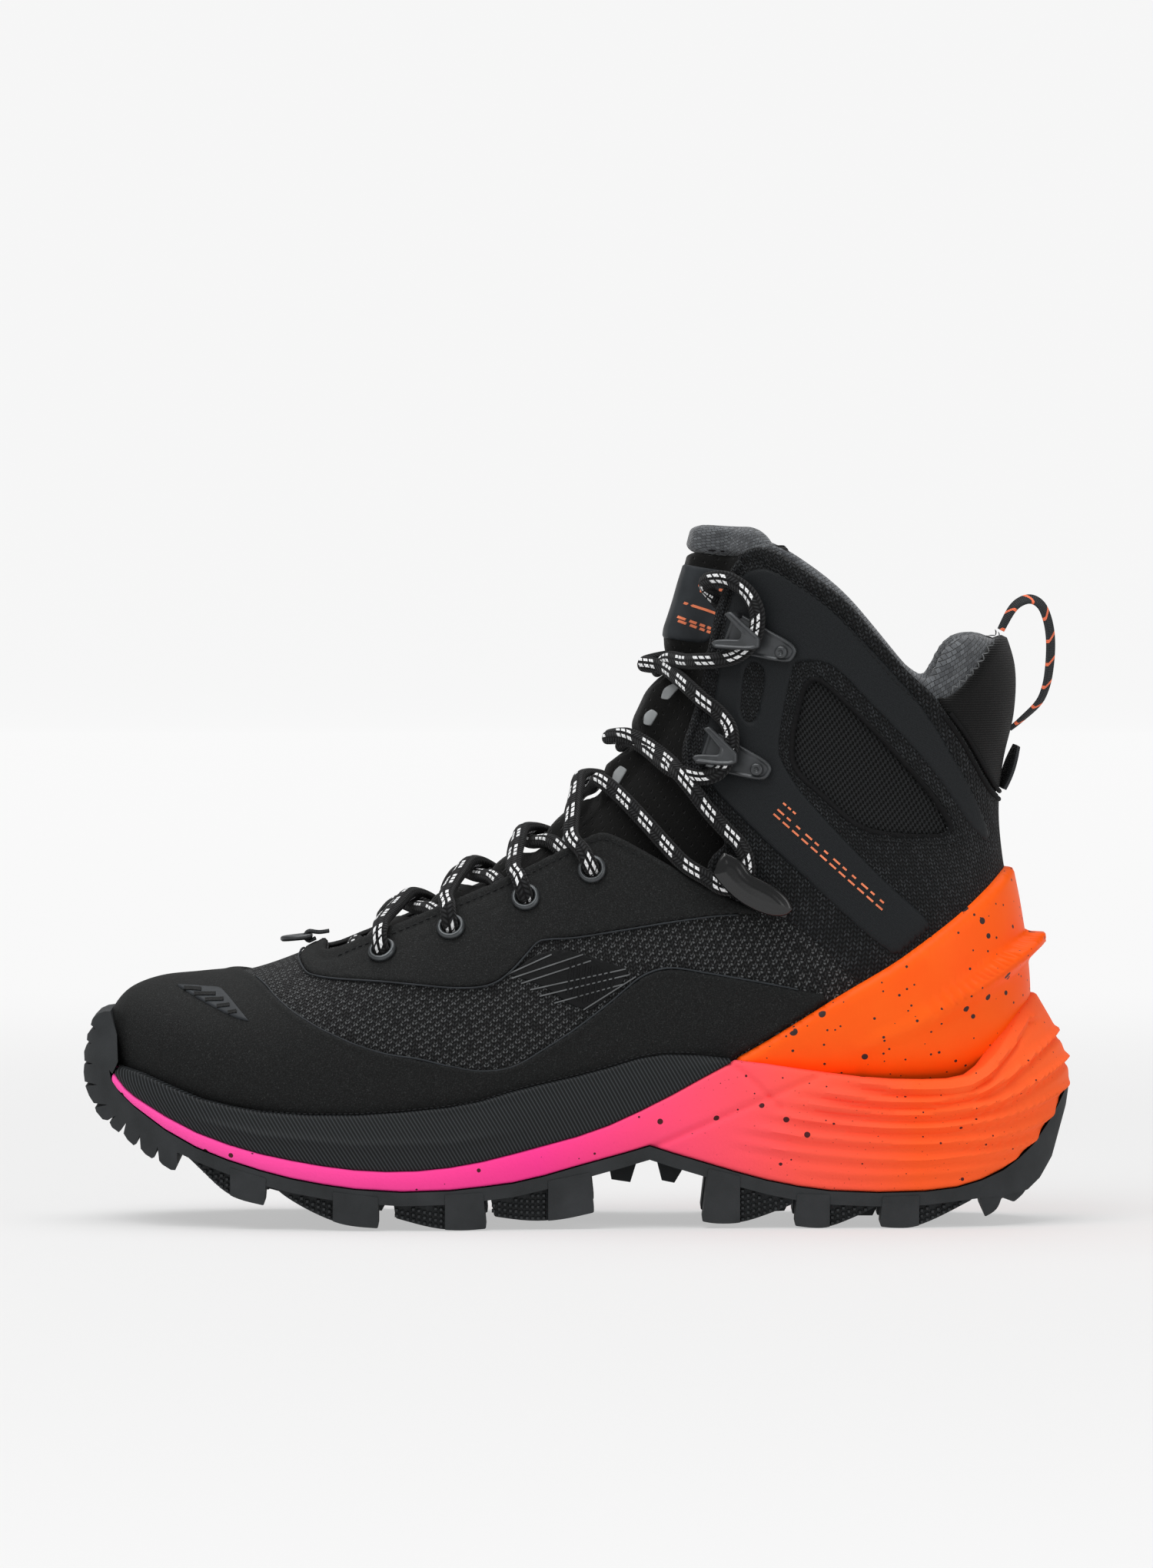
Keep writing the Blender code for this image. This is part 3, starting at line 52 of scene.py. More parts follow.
# ---------------------------------------------------------------- the form, as in the CAD
# ridge x, z | sole or heel x, z | lateral y, medial y | height of the widest place | top, bottom fullness
RIBS = (
    (-148.5, 57.0, -148.5, 57.0, 6.0, 6.0, 0.45, 2.1, 2.2),
    (-147.9, 63.5, -147.9, 50.5, -7.0, 19.0, 0.45, 2.1, 2.2),
    (-145.5, 69.0, -145.3, 46.0, -15.0, 26.0, 0.44, 2.1, 2.3),
    (-140.5, 73.6, -140.0, 41.5, -24.0, 33.0, 0.43, 2.1, 2.4),
    (-131.5, 76.8, -131.0, 36.5, -33.0, 39.0, 0.42, 2.1, 2.6),
    (-119.0, 78.2, -118.5, 32.0, -40.5, 44.0, 0.40, 2.1, 2.8),
    (-104.0, 80.0, -103.5, 28.3, -46.0, 47.0, 0.38, 2.1, 3.0),
    (-89.0, 85.0, -88.0, 25.5, -49.5, 48.5, 0.37, 2.1, 3.2),
    (-75.0, 91.4, -72.0, 24.0, -51.0, 48.0, 0.36, 2.1, 3.3),
    (-60.0, 100.0, -55.0, 23.5, -50.5, 46.0, 0.35, 2.1, 3.4),
    (-44.5, 108.3, -36.0, 24.8, -48.5, 42.0, 0.35, 2.1, 3.4),
    (-29.0, 116.5, -16.0, 27.5, -45.5, 38.0, 0.35, 2.1, 3.4),
    (-15.0, 125.5, 5.0, 31.5, -42.0, 34.5, 0.36, 2.1, 3.4),
    (-3.0, 136.0, 28.0, 35.5, -39.5, 33.0, 0.37, 2.1, 3.4),
    (6.0, 147.0, 53.0, 38.5, -38.0, 33.5, 0.38, 2.1, 3.4),
    (12.5, 157.5, 80.0, 40.0, -37.5, 35.0, 0.40, 2.1, 3.3),
    (17.0, 166.5, 106.0, 41.0, -37.0, 35.5, 0.42, 2.1, 3.2),
    (20.5, 174.5, 126.0, 44.0, -36.5, 35.5, 0.44, 2.1, 3.0),
    (23.5, 182.0, 137.0, 53.0, -36.0, 35.0, 0.46, 2.1, 2.7),
    (26.0, 189.0, 140.8, 68.0, -35.5, 34.5, 0.48, 2.1, 2.4),
    (28.5, 196.5, 140.3, 84.0, -35.0, 34.0, 0.49, 2.1, 2.3),
    (30.5, 203.5, 138.0, 100.0, -34.5, 33.5, 0.50, 2.1, 2.2),
    (32.5, 210.0, 135.0, 116.0, -34.5, 33.5, 0.50, 2.1, 2.2),
    (34.0, 216.5, 133.8, 132.0, -35.0, 34.0, 0.50, 2.1, 2.2),
    (35.5, 222.0, 135.5, 147.0, -36.0, 35.0, 0.50, 2.1, 2.2),
    (37.0, 228.0, 138.8, 162.0, -37.0, 36.0, 0.50, 2.1, 2.2),
    (38.5, 233.0, 139.0, 177.0, -37.5, 36.5, 0.50, 2.1, 2.2),
    (40.0, 238.0, 134.5, 191.0, -38.0, 37.0, 0.50, 2.1, 2.2),
)
TOP = len(RIBS) - 1.0

# ---------------------------------------------------------------- side-view curves, x and z
TREAD_T = 4.5                    # outsole thickness between the lugs
LUG_REACH = 25.0                 # how far a side lug reaches in from the sole's edge
CENTRE_LUG_HALF = 11.0           # half the width of a lug in the middle of the sole
TOE_END, HEEL_END = -157.0, 156.5           # where the sole's plan starts and ends
OUTSOLE_TOP = ((-148.3, 49.3), (-147.5, 46), (-145, 42.5), (-140, 38), (-130, 31), (-120, 25.7), (-110, 22),
               (-100, 19), (-90, 16.5), (-80, 14.7), (-70, 13.3), (-55, 12.4), (-40, 12.8), (-30, 13.8),
               (-20, 15), (-10, 17.2), (0, 20), (15, 24), (23, 26.3), (30, 24), (40, 21), (50, 18),
               (60, 15.3), (70, 13.3), (80, 12), (95, 11.4), (110, 11.7), (120, 12.8), (128, 15), (135, 18),
               (140, 21.5), (145, 26), (150, 33), (153, 38), (156.5, 44.5))
MIDSOLE_TOP = ((-148.3, 50), (-146, 46.8), (-143, 43.3), (-140, 41), (-130, 35.2), (-120, 30.4), (-110, 26.9),
               (-100, 24.2), (-90, 22.2), (-80, 20.5), (-70, 19.3), (-60, 18.8), (-50, 19), (-40, 20),
               (-30, 21.7), (-20, 24.1), (-10, 26.7), (0, 29.3), (10, 32.7), (20, 37.2), (30, 42.2),
               (40, 47.7), (50, 53))
CRADLE_FOOT = ((50, 53), (60, 51.8), (70, 50.2), (80, 48.8), (90, 47.6), (100, 46.9), (110, 46.7),
               (118, 46.9), (124, 48), (128.5, 50.8), (133, 55), (138, 62), (142, 68.5), (145.5, 72.5))
RAND_TOP = ((-148.3, 50.5), (-140, 48.7), (-135, 46.8), (-130, 44.8), (-120, 41), (-110, 38.8), (-100, 37.2),
            (-85, 36.3), (-70, 36.3), (-55, 37.2), (-40, 38.6), (-30, 40.4), (-20, 43.4), (-10, 45.8),
            (0, 48), (10, 50.6), (20, 53.6), (28, 54.8), (38, 54.6), (50, 53.3))
CRADLE_TOP = ((50.3, 53.5), (60, 59), (70, 65.2), (80, 71.5), (90, 77.5), (100, 83.3), (110, 90.5),
              (120, 98), (130, 107), (135, 112.5), (138, 114.3), (142, 113))
FIN_TOP = ((78, 55), (95, 62), (105, 67), (115, 72), (125, 79.5), (135, 88), (143, 94.6), (151, 95.4))
FIN_FOOT = ((151, 92), (147, 88.2), (143, 85), (135, 77.5), (125, 69.5), (112, 61.5), (95, 56), (78, 51.5))
THROAT = ((-79.5, 86.3), (-75, 87.2), (-70, 89.4), (-60, 93.4), (-50, 97.6), (-40, 102), (-30, 106.2),
          (-20, 110.7), (-10, 115.8), (0, 121), (6, 124), (9, 124.5), (13, 123.2), (20, 119.6), (30, 114),
          (40, 108.4), (46, 105.2))
QUARTER_FRONT = ((42, 109), (40.8, 113), (42.5, 117.5), (47, 121), (44.5, 126.5), (40, 132), (36, 139),
                 (33.3, 146), (33.3, 152), (35.5, 158), (38, 166), (40, 174), (41.5, 182), (43, 190),
                 (45, 198), (48, 206), (50.5, 210.5))
COLLAR = ((53, 213.5), (57, 215), (61, 214.3), (66, 211.5), (72, 207.5), (80, 202), (86, 197), (92, 190),
          (98, 183), (104, 176), (108, 172.3), (112.5, 168.5))
COLLAR_STRIP = ((117, 162), (122, 155), (126, 148), (129.5, 141.5), (132.5, 137), (137, 133))
HEEL_COLLAR = ((116, 166.5), (120, 168), (125, 173), (130, 181), (133.5, 186), (141, 188))
LINING_RIM = ((55, 215.5), (60, 216), (66, 213), (72, 209), (80, 203.5), (86, 198.5), (92, 191.5),
              (98, 184.5), (104, 177.5), (108, 174), (112, 172), (115, 176), (118, 181.5), (122, 185.5),
              (127, 188), (131, 188.6), (135, 187.3), (145, 186))
LINING_THROAT = ((-86, 78.5), (-72, 77), (-61, 77.5), (-50, 80.5), (-39.5, 85), (-27, 89.5), (-16, 94.5),
                 (-5, 99.5), (5, 103.5), (16, 104.5), (30, 100), (44, 96.5), (52, 96), (56, 101), (54, 112),
                 (50, 124), (42, 137), (39, 147), (40, 156), (43, 168), (46, 182), (48, 192), (51, 202))
TONGUE_FOOT = ((-90, 72), (-61, 70), (-39.5, 77), (-16, 86), (5, 94), (30, 90), (50, 88), (55, 98),
               (53, 112), (51, 130), (49, 146), (50, 160), (54, 180), (59, 200), (61.5, 212))
GUARD_TOP = ((-150, 90), (-117, 90), (-111, 80.4), (-105, 79.3), (-101.5, 78), (-98, 75.5), (-95, 72.5),
             (-90, 68.5), (-85, 65.5), (-80, 62.8), (-70, 58.5), (-60, 55.5), (-50, 54), (-40, 51.6),
             (-30, 50), (-20, 51.4),
             (-10, 57), (0, 63.4), (10, 71), (15, 75.2), (20, 79.2), (26, 81.7), (32, 82), (40, 80.7),
             (50, 79), (60, 77.2), (70, 75.2), (79, 73.4))
EYESTAY_FOOT = ((57, 99.4), (51, 98.8), (44, 98.4), (30, 96.5), (15, 94), (0, 91.6), (-9, 91), (-12.5, 90),
                (-16, 86.3), (-20, 82), (-25, 78), (-31, 76.2), (-40, 76), (-50, 76.8), (-62, 77.7),
                (-76, 78.2), (-82, 78.8), (-85.5, 80), (-88, 84), (-86.5, 86.2), (-83, 88))
QUARTER_BAND = ((52, 206), (57, 208.6), (63, 207.6), (70, 203.4), (77, 198.8), (85, 191.4), (92, 184),
                (100, 175.4), (106, 168.8), (112, 160.4), (118, 150.4), (122, 143.2), (126, 135),
                (129, 128), (130.6, 122), (129, 121.2), (124, 126.3), (118, 136), (110, 147), (100, 158),
                (90, 168), (83, 176), (77, 179), (69, 178.5), (67, 171), (65, 160), (63.5, 150),
                (66.5, 144.5), (70, 138.5), (80, 127.3), (90, 116.8), (100, 107), (110, 98.2), (112.5, 94.6),
                (101, 85.4), (93, 91), (80, 102.8), (70, 112), (60, 121), (52, 129), (44, 137), (39.6, 143.5),
                (38.6, 150), (42, 160), (44, 170), (45.5, 180), (47, 190), (49, 199))
WINDOW = ((72.5, 171), (75, 172.8), (78, 171.5), (85, 165), (95, 155), (105, 144), (112, 135.8),
          (117, 128), (118, 124.8), (113, 123.8), (103, 124.3), (93, 125.6), (87, 128.6), (78, 137),
          (71, 143), (68.4, 147.5), (68.6, 155), (70.4, 163.5))
SLOT = ((55.5, 178.5), (58.5, 177.5), (59.6, 174), (57.8, 165), (56.5, 160.5), (54, 159.2), (52, 162),
        (52.4, 170), (53.2, 176))

# ---------------------------------------------------------------- sole unit in plan and its levels
# x, lateral y, medial y of the sole's edge
SOLE_PLAN = ((-157, 6, 6), (-155.5, -6, 18), (-150, -18, 28), (-140, -31, 38), (-125, -42, 46),
             (-105, -50.5, 51.5), (-85, -54.5, 53), (-65, -56, 52.5), (-45, -55, 49), (-25, -52, 44.5),
             (-5, -48, 41), (15, -44.5, 39), (35, -42.5, 38.5), (60, -42, 39.5), (85, -42, 40.5),
             (110, -40.5, 39.5), (130, -36, 35), (143, -27, 26), (151, -17, 16.5),
              (154.8, -8, 7.5), (156.5, 0, 0))
# height, x of the toe, x of the heel, width
SOLE_LEVELS = ((-2, -147, 148, 0.965), (14, -150.5, 151.5, 0.99), (30, -154.5, 155, 1.0),
               (45, -157, 156.5, 0.985), (58, -155.5, 153, 0.955), (76, -149.5, 145, 0.90))
HEEL_WAVES = ((((78, 48), (100, 44.6), (118, 44), (126, 46), (132, 51), (138, 58), (143, 66)), 1.5),
              (((66, 44.8), (90, 41.2), (110, 40.4), (125, 42.5), (135, 47), (145, 55), (152, 61)), 1.5),
              (((60, 41.2), (85, 37.6), (110, 36.4), (130, 39), (145, 46), (156, 53)), 1.4),
              (((54, 37.2), (85, 33.2), (110, 31.8), (135, 35), (156, 43.5)), 1.2),
              (((46, 33), (80, 28.4), (110, 26.8), (135, 29), (152, 35)), 1.0),
              (((44, 28.4), (75, 23.6), (105, 21.6), (130, 23.5), (146, 27)), 0.8),
              (((62, 19.6), (90, 17), (120, 18), (138, 21)), 0.5))
BUMPER_LOBES = ((-126.2, 24), (-126.2, 20.5), (-126.8, 18.2), (-128.2, 18.2), (-131, 19.8), (-132, 21),
                (-132.5, 25.5), (-133.5, 22), (-134.4, 21.6), (-136.5, 22.8), (-138, 24.5), (-138.3, 28.8),
                (-139.3, 26), (-140.3, 25.4), (-142.3, 27), (-143.6, 29), (-142.8, 32.3), (-144.4, 30),
                (-145.2, 29.2), (-147.4, 30.6), (-148.2, 32.2), (-146, 34.6), (-148.8, 32.8), (-150.5, 33),
                (-152.6, 35.3), (-153, 36.6), (-148.8, 37.8), (-153.4, 38), (-155, 40.3), (-156.2, 43.2),
                (-152, 44), (-156.4, 44.6), (-156.8, 47.5), (-156.6, 50), (-153.5, 50.5), (-156.5, 51.2),
                (-156.7, 54), (-155.9, 56.2), (-154.2, 56.8), (-155.8, 57.8), (-155.6, 59.6), (-154.3, 61.2),
                (-152.8, 61.6), (-154.4, 62.8), (-153.9, 64.6), (-152.2, 66.3), (-150, 67.2), (-148, 67.4),
                (-145.8, 60), (-145.4, 51.6), (-147.2, 47.8))
HEEL_WRAP = ((156.8, 44.5), (155.6, 37), (153.4, 29.5), (151, 21), (147, 14.5), (143, 11), (136, 9.5),
             (128, 9.2))
SIDE_LUGS = (
    ((-124, 23.5), (-119, 19), (-112, 12.3), (-107, 9.6), (-98.5, 7.8), (-97.8, 16.5)),
    ((-95, 14.5), (-94, 12), (-85, 6.5), (-76, 2.6), (-70, 1.4), (-62.5, 0.9), (-62.5, 10.8)),
    ((-58, 10.8), (-57, 4), (-45, 0.6), (-36, 0), (-28.5, 0.6), (-29.5, 12)),
    ((-27.5, 12), (-26, 4.3), (-15, 2.6), (-5, 3.0), (5.5, 5.3), (4.2, 18)),
    ((41.5, 19), (39.5, 2.2), (44, 1.4), (52, 1.6), (60, 4.2), (68, 7.5), (68, 12.5)),
    ((69.5, 11), (68.8, 0.8), (75, 0), (80, 0.3), (88, 3.5), (95, 7), (95, 10.2)),
    ((96.5, 10), (95.8, 0.5), (100, 0), (106, 0), (113, 2.5), (125, 8.6), (125, 10.8)),
    ((127, 12), (129, 3), (133, 5), (134.5, 9), (138.5, 7.3), (142.5, 10.4), (144, 16), (130, 14)),
)
CENTRE_LUGS = (
    ((-106, 18), (-103, 12), (-92, 9), (-88, 14.4)),
    ((-78, 12.4), (-75, 5), (-62, 3.5), (-58, 11)),
    ((-46, 11), (-43, 2), (-30, 2), (-27, 12)),
    ((-14, 14.5), (-11, 5), (-1, 6), (2, 18)),
    ((10, 19), (11, 13.5), (17, 12.6), (19, 19)),
    ((25, 21), (27, 13.2), (31, 12.4), (35, 19)),
    ((56, 14), (57, 3), (66, 3.5), (70, 11.2)),
    ((84, 10.5), (85, 2), (94, 2), (98, 10)),
)

# ---------------------------------------------------------------- hardware
EYELETS = ((-61, 86.5), (-39.5, 94), (-16, 103.5), (5, 112.5))
HOOK_APEX_ARM = ((50.6, 193.6), (52.6, 194.6), (60.5, 186.4), (60.2, 183.2), (57.5, 182), (47.4, 182.2),
                 (46.4, 184), (48, 185.2), (54.6, 185.5), (55.4, 187.2))
HOOK_LEGS = (((50.6, 193.4), (52.4, 194.4), (53.9, 192.8), (52, 191.6)),
             ((46.5, 184), (47.4, 182.3), (49.4, 182.3), (49.4, 185), (48, 185)))
HOOK_PLATE = ((46.8, 182.6), (50.8, 193.9), (53.2, 193.8), (60.5, 189.2), (69, 184.6), (70, 182),
              (68.6, 179.2), (66.5, 178.2), (55, 180.4))
HOOK_RIVET = (65.3, 181.8)
LOWER_HOOK_SHIFT = (-8.0, -37.4)     # the lower hook is the same part, further down the quarter
KEEPER_COVER = ((43.3, 110.5), (44.5, 115), (46.8, 117.8), (52.5, 115.5), (54.5, 111.4), (59, 109.3),
                (63.5, 107), (67, 103.5), (68, 100.5), (66, 98.6), (62, 98.2), (57, 99.6), (52, 102),
                (47.5, 105.5))
KEEPER_LEG = ((43.7, 111.6), (46.5, 117.3), (48.5, 116.8), (45.5, 110.6))
KEEPER_PLATE = ((43.5, 111.5), (46.5, 117.6), (55, 111.5), (63, 107.6), (67.5, 101), (66, 97.6), (60, 99))
KEEPER_RIVET = (62.6, 102.4)

RING_HINGE = (-85.0, 90.5)           # x and z of the lace ring's straight bar
RING_WIRE, RING_BAR, RING_REACH, RING_TILT = 0.9, 5.4, 8.6, -6.0
PULL_LOOP = ((135.9, 189.6), (138.3, 194.2), (141.3, 197), (144.8, 197.7), (148, 195.5), (150, 190.4),
             (150.8, 184), (150.4, 176), (149.2, 169.6), (146.8, 164.6), (143.6, 161), (140.9, 158.9))
HEEL_TAB = ((135.4, 137.6), (136.9, 142), (138.5, 146.8), (140, 151.2))


def catmull(rows, t):
    rows = np.asarray(rows, float)
    t = np.clip(np.asarray(t, float), 0, len(rows) - 1)
    i = np.minimum(t.astype(int), len(rows) - 2)
    f = (t - i)[..., None]
    p0, p1 = rows[np.maximum(i - 1, 0)], rows[i]
    p2, p3 = rows[i + 1], rows[np.minimum(i + 2, len(rows) - 1)]
    return p1 + 0.5 * f * (p2 - p0 + f * (2 * p0 - 5 * p1 + 4 * p2 - p3 + f * (3 * (p1 - p2) + p3 - p0)))


def smooth(t):
    t = np.clip(t, 0.0, 1.0)
    return t * t * (3 - 2 * t)


def form(s, a):
    """Points of the form at station s, from toe to collar, and angle a round it, 0 on the ridge."""
    s, a = np.broadcast_arrays(np.asarray(s, float), np.asarray(a, float))
    rib = np.moveaxis(catmull(RIBS, s), -1, 0)
    ridge_x, ridge_z, sole_x, sole_z, lateral, medial, wide, top, bottom = rib
    c, n = np.cos(a), np.sin(a)
    power = 2 / np.where(c >= 0, top, bottom)
    u = (1 - wide) - np.where(c >= 0, 1 - wide, -wide) * np.abs(c) ** power
    y = (lateral + medial) / 2 + (medial - lateral) / 2 * np.sign(n) * np.abs(n) ** power
    return np.stack([ridge_x + (sole_x - ridge_x) * u, y, ridge_z + (sole_z - ridge_z) * u], -1)


def normals(s, a):
    along = form(np.minimum(s + 0.05, TOP), a) - form(np.maximum(s - 0.05, 0.02), a)
    around = form(s, a + 0.03) - form(s, a - 0.03)
    n = np.cross(along, around)
    return n / np.maximum(np.linalg.norm(n, axis=-1, keepdims=True), 1e-12)


def skin(s, a, d):
    s, a, d = np.broadcast_arrays(*(np.asarray(v, float) for v in (s, a, d)))
    return form(s, a) + normals(s, a) * d[..., None]


def locate(x, z, side):
    """Station and angle of the place on the form that side view shows at x, z."""
    x, z = np.asarray(x, float), np.asarray(z, float)
    low, high = np.full(x.shape, 0.4), np.full(x.shape, TOP)
    for _ in range(40):
        s = (low + high) / 2
        r = catmull(RIBS, s)
        dx, dz = r[..., 2] - r[..., 0], r[..., 3] - r[..., 1]
        beyond = dx * (z - r[..., 1]) - dz * (x - r[..., 0]) > 0
        low, high = np.where(beyond, s, low), np.where(beyond, high, s)
    r = catmull(RIBS, s)
    dx, dz, wide = r[..., 2] - r[..., 0], r[..., 3] - r[..., 1], r[..., 6]
    u = np.clip(((x - r[..., 0]) * dx + (z - r[..., 1]) * dz) / (dx * dx + dz * dz), 0, 1)
    upper = u < 1 - wide
    c = np.where(upper, (1 - wide - u) / (1 - wide), (u - 1 + wide) / wide)
    angle = np.arccos(np.clip(c ** (np.where(upper, r[..., 7], r[..., 8]) / 2), 0, 1))
    return s, side * np.where(upper, angle, math.pi - angle)


def on_skin(x, z, side, d):
    return skin(*locate(x, z, side), d)


# ---------------------------------------------------------------- outlines in side view
def rounded(outline, sharp=1.2, closed=True):
    """An outline with its shallow bends made smooth, and its sharp corners only slightly rounded."""
    p = np.asarray(outline, float)
    n, made = len(p), []
    for i in range(n):
        if not closed and i in (0, n - 1):
            made.append(p[i])
            continue
        before, here, after = p[i - 1], p[i], p[(i + 1) % n]
        one, two = before - here, after - here
        l1, l2 = np.linalg.norm(one), np.linalg.norm(two)
        bend = math.acos(np.clip(-(one @ two) / (l1 * l2), -1, 1))
        reach = 0.5 if bend < 0.75 else 0.0
        c1 = max(l1 * reach, min(sharp, l1 * 0.45))
        c2 = max(l2 * reach, min(sharp, l2 * 0.45))
        start, end = here + one / l1 * c1, here + two / l2 * c2
        for t in np.linspace(0, 1, 5):
            made.append(start * (1 - t) ** 2 + here * 2 * t * (1 - t) + end * t * t)
    return np.array(made)


def distance_in(outline, x, z):
    """Distance from the outline in side view, positive inside it."""
    p = np.asarray(outline, float)
    q = np.roll(p, -1, 0)
    best = np.full(x.shape, 1e9)
    inside = np.zeros(x.shape, bool)
    for (ax, az), (bx, bz) in zip(p, q):
        ex, ez = bx - ax, bz - az
        t = np.clip(((x - ax) * ex + (z - az) * ez) / max(ex * ex + ez * ez, 1e-9), 0, 1)
        best = np.minimum(best, (x - ax - t * ex) ** 2 + (z - az - t * ez) ** 2)
        if az != bz:
            inside ^= ((az > z) != (bz > z)) & (x < (bx - ax) * (z - az) / (bz - az) + ax)
    return np.where(inside, 1, -1) * np.sqrt(best)


def distance_to(line, x, z):
    """Distance from an open polyline in side view."""
    best = np.full(np.shape(x), 1e9)
    for (ax, az), (bx, bz) in zip(line[:-1], line[1:]):
        ex, ez = bx - ax, bz - az
        t = np.clip(((x - ax) * ex + (z - az) * ez) / max(ex * ex + ez * ez, 1e-9), 0, 1)
        best = np.minimum(best, (x - ax - t * ex) ** 2 + (z - az - t * ez) ** 2)
    return np.sqrt(best)


# ---------------------------------------------------------------- lattices
class Lattice:
    """Places on the form in rows and columns: their points, normals and lengths along and around."""

    def __init__(self, s, a, wraps):
        self.wraps = wraps
        self.p, self.n = form(s, a), normals(s, a)
        around = np.linalg.norm(np.diff(self.p, axis=1), axis=2)
        self.v = np.concatenate([np.zeros((len(s), 1)), np.cumsum(around, 1)], 1)
        middle = int(np.argmin(np.abs(a[0])))
        self.v -= self.v[:, middle:middle + 1]
        column = int(np.argmin(np.abs(a[0] + 1.3)))
        along = np.linalg.norm(np.diff(self.p[:, column], axis=0), axis=1)
        self.u = np.broadcast_to(np.concatenate([[0], np.cumsum(along)])[:, None], s.shape)


def even(curve, low, high, count):
    """Parameters between low and high that are evenly spaced along a curve."""
    t = np.linspace(low, high, 1500)
    length = np.concatenate([[0], np.cumsum(np.linalg.norm(np.diff(curve(t), axis=0), axis=1))])
    return np.interp(np.linspace(0, length[-1], count), length, t)


def whole_lattice(rows, columns):
    s = even(lambda t: form(t, -1.3 + 0 * t), 0.22, TOP, rows)
    a = even(lambda t: form(12 + 0 * t, t), -math.pi, math.pi, columns + 1)[:-1]
    return Lattice(*np.meshgrid(s, a, indexing="ij"), True)


def patch_lattice(outline, side, step=0.4, margin=1.0):
    """A fine lattice over an outline in side view."""
    p = np.asarray(outline, float)
    low, high = p.min(0) - margin, p.max(0) + margin
    count = np.maximum(((high - low) / step).astype(int), 4)
    x, z = np.meshgrid(np.linspace(low[0], high[0], count[0]), np.linspace(low[1], high[1], count[1]),
                       indexing="ij")
    s, a = locate(x, z, side)
    made = Lattice(s, a, False)
    made.u, made.v = x, z
    return made


class Place:
    """Per-vertex values that depth functions read."""

    def __init__(self, lattice, field, first, second, t):
        def mixed(values):
            flat = values.reshape(-1, *values.shape[2:])
            w = t.reshape(-1, *([1] * (flat.ndim - 1)))
            return flat[first] * (1 - w) + flat[second] * w

        self.p, self.e, self.u, self.v = mixed(lattice.p), mixed(field), mixed(lattice.u), mixed(lattice.v)
        n = mixed(lattice.n)
        self.n = n / np.linalg.norm(n, axis=1, keepdims=True)
        self.x, self.y, self.z = self.p.T


def clip(lattice, field):
    """The part of a lattice where the field is positive, with its edge cut exactly."""
    rows, columns = field.shape
    flat = field.ravel()
    across = columns if lattice.wraps else columns - 1
    i, j = np.meshgrid(np.arange(rows - 1), np.arange(across), indexing="ij")
    near, far, right = i * columns, (i + 1) * columns, (j + 1) % columns
    corners = np.stack([near + j, near + right, far + right, far + j], -1).reshape(-1, 4)
    count = (flat[corners] > 0).sum(1)
    corners = corners[count > 0]
    count = count[count > 0]
    new, first, second, part = {}, [], [], []

    def vertex(a, b, t):
        key = (a, b)
        if key not in new:
            new[key] = len(first)
            first.append(a)
            second.append(b)
            part.append(t)
        return new[key]

    faces = []
    for quad, inside in zip(corners.tolist(), count.tolist()):
        if inside == 4:
            faces.append([vertex(k, k, 0.0) for k in quad])
            continue
        face = []
        for k in range(4):
            a, b = quad[k], quad[(k + 1) % 4]
            fa, fb = flat[a], flat[b]
            if fa > 0:
                face.append(vertex(a, a, 0.0))
            if (fa > 0) != (fb > 0):
                low, high = min(a, b), max(a, b)
                face.append(vertex(low, high, float(flat[low] / (flat[low] - flat[high]))))
        if len(face) > 2:
            faces.append(face)
    return faces, Place(lattice, field, np.array(first), np.array(second), np.array(part))


# ---------------------------------------------------------------- meshes
def make(name, points, faces, look, uv=None, body="boot", node=None, slot=None, flat=False, sharp=None):
    mesh = bpy.data.meshes.new(name)
    mesh.from_pydata(((np.asarray(points) + CENTRE) * MM).tolist(), [], faces)
    if uv is not None:
        layer = mesh.uv_layers.new(name="mm")
        corner = np.zeros(len(mesh.loops), np.int32)
        mesh.loops.foreach_get("vertex_index", corner)
        layer.data.foreach_set("uv", (np.asarray(uv, np.float32)[corner] * 0.01).ravel())
    bm = bmesh.new()
    bm.from_mesh(mesh)
    bmesh.ops.recalc_face_normals(bm, faces=bm.faces)
    bm.to_mesh(mesh)
    bm.free()
    mesh.materials.append(look)
    if not flat:
        mesh.shade_smooth()
        if sharp:
            mesh.set_sharp_from_angle(angle=math.radians(sharp))
    piece = bpy.data.objects.new(name, mesh)
    bpy.context.scene.collection.objects.link(piece)
    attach(piece, body)
    if node:
        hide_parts(*([node] if isinstance(node, str) else node))
    return piece


def closed_shell(faces, place, outer, inner):
    """Vertices and faces of the solid between two depths over clipped faces."""
    count = len(place.x)
    points = np.concatenate([place.p + place.n * outer[:, None], place.p + place.n * inner[:, None]])
    edges = {}
    for face in faces:
        for a, b in zip(face, face[1:] + face[:1]):
            edges[(a, b)] = edges.get((a, b), 0) + 1
    sides = [(b, a, a + count, b + count) for a, b in edges if (b, a) not in edges]
    solid = faces + [[k + count for k in reversed(face)] for face in faces] + [list(s) for s in sides]
    uv = np.stack([place.u, place.v], 1)
    return points, solid, np.concatenate([uv, uv])


def shell(name, lattice, field, outer, inner, look, **more):
    faces, place = clip(lattice, field)
    values = [d(place) if callable(d) else np.full(len(place.x), float(d)) for d in (outer, inner)]
    points, solid, uv = closed_shell(faces, place, *values)
    return make(name, points, solid, look, uv, **more)


def rolled(top, low, radius):
    """A depth function: flat at top, rounded down to low at the edge."""
    def depth(place):
        t = np.clip(place.e / radius, 0, 1)
        return low + (top - low) * np.sqrt(1 - (1 - t) ** 2)
    return depth


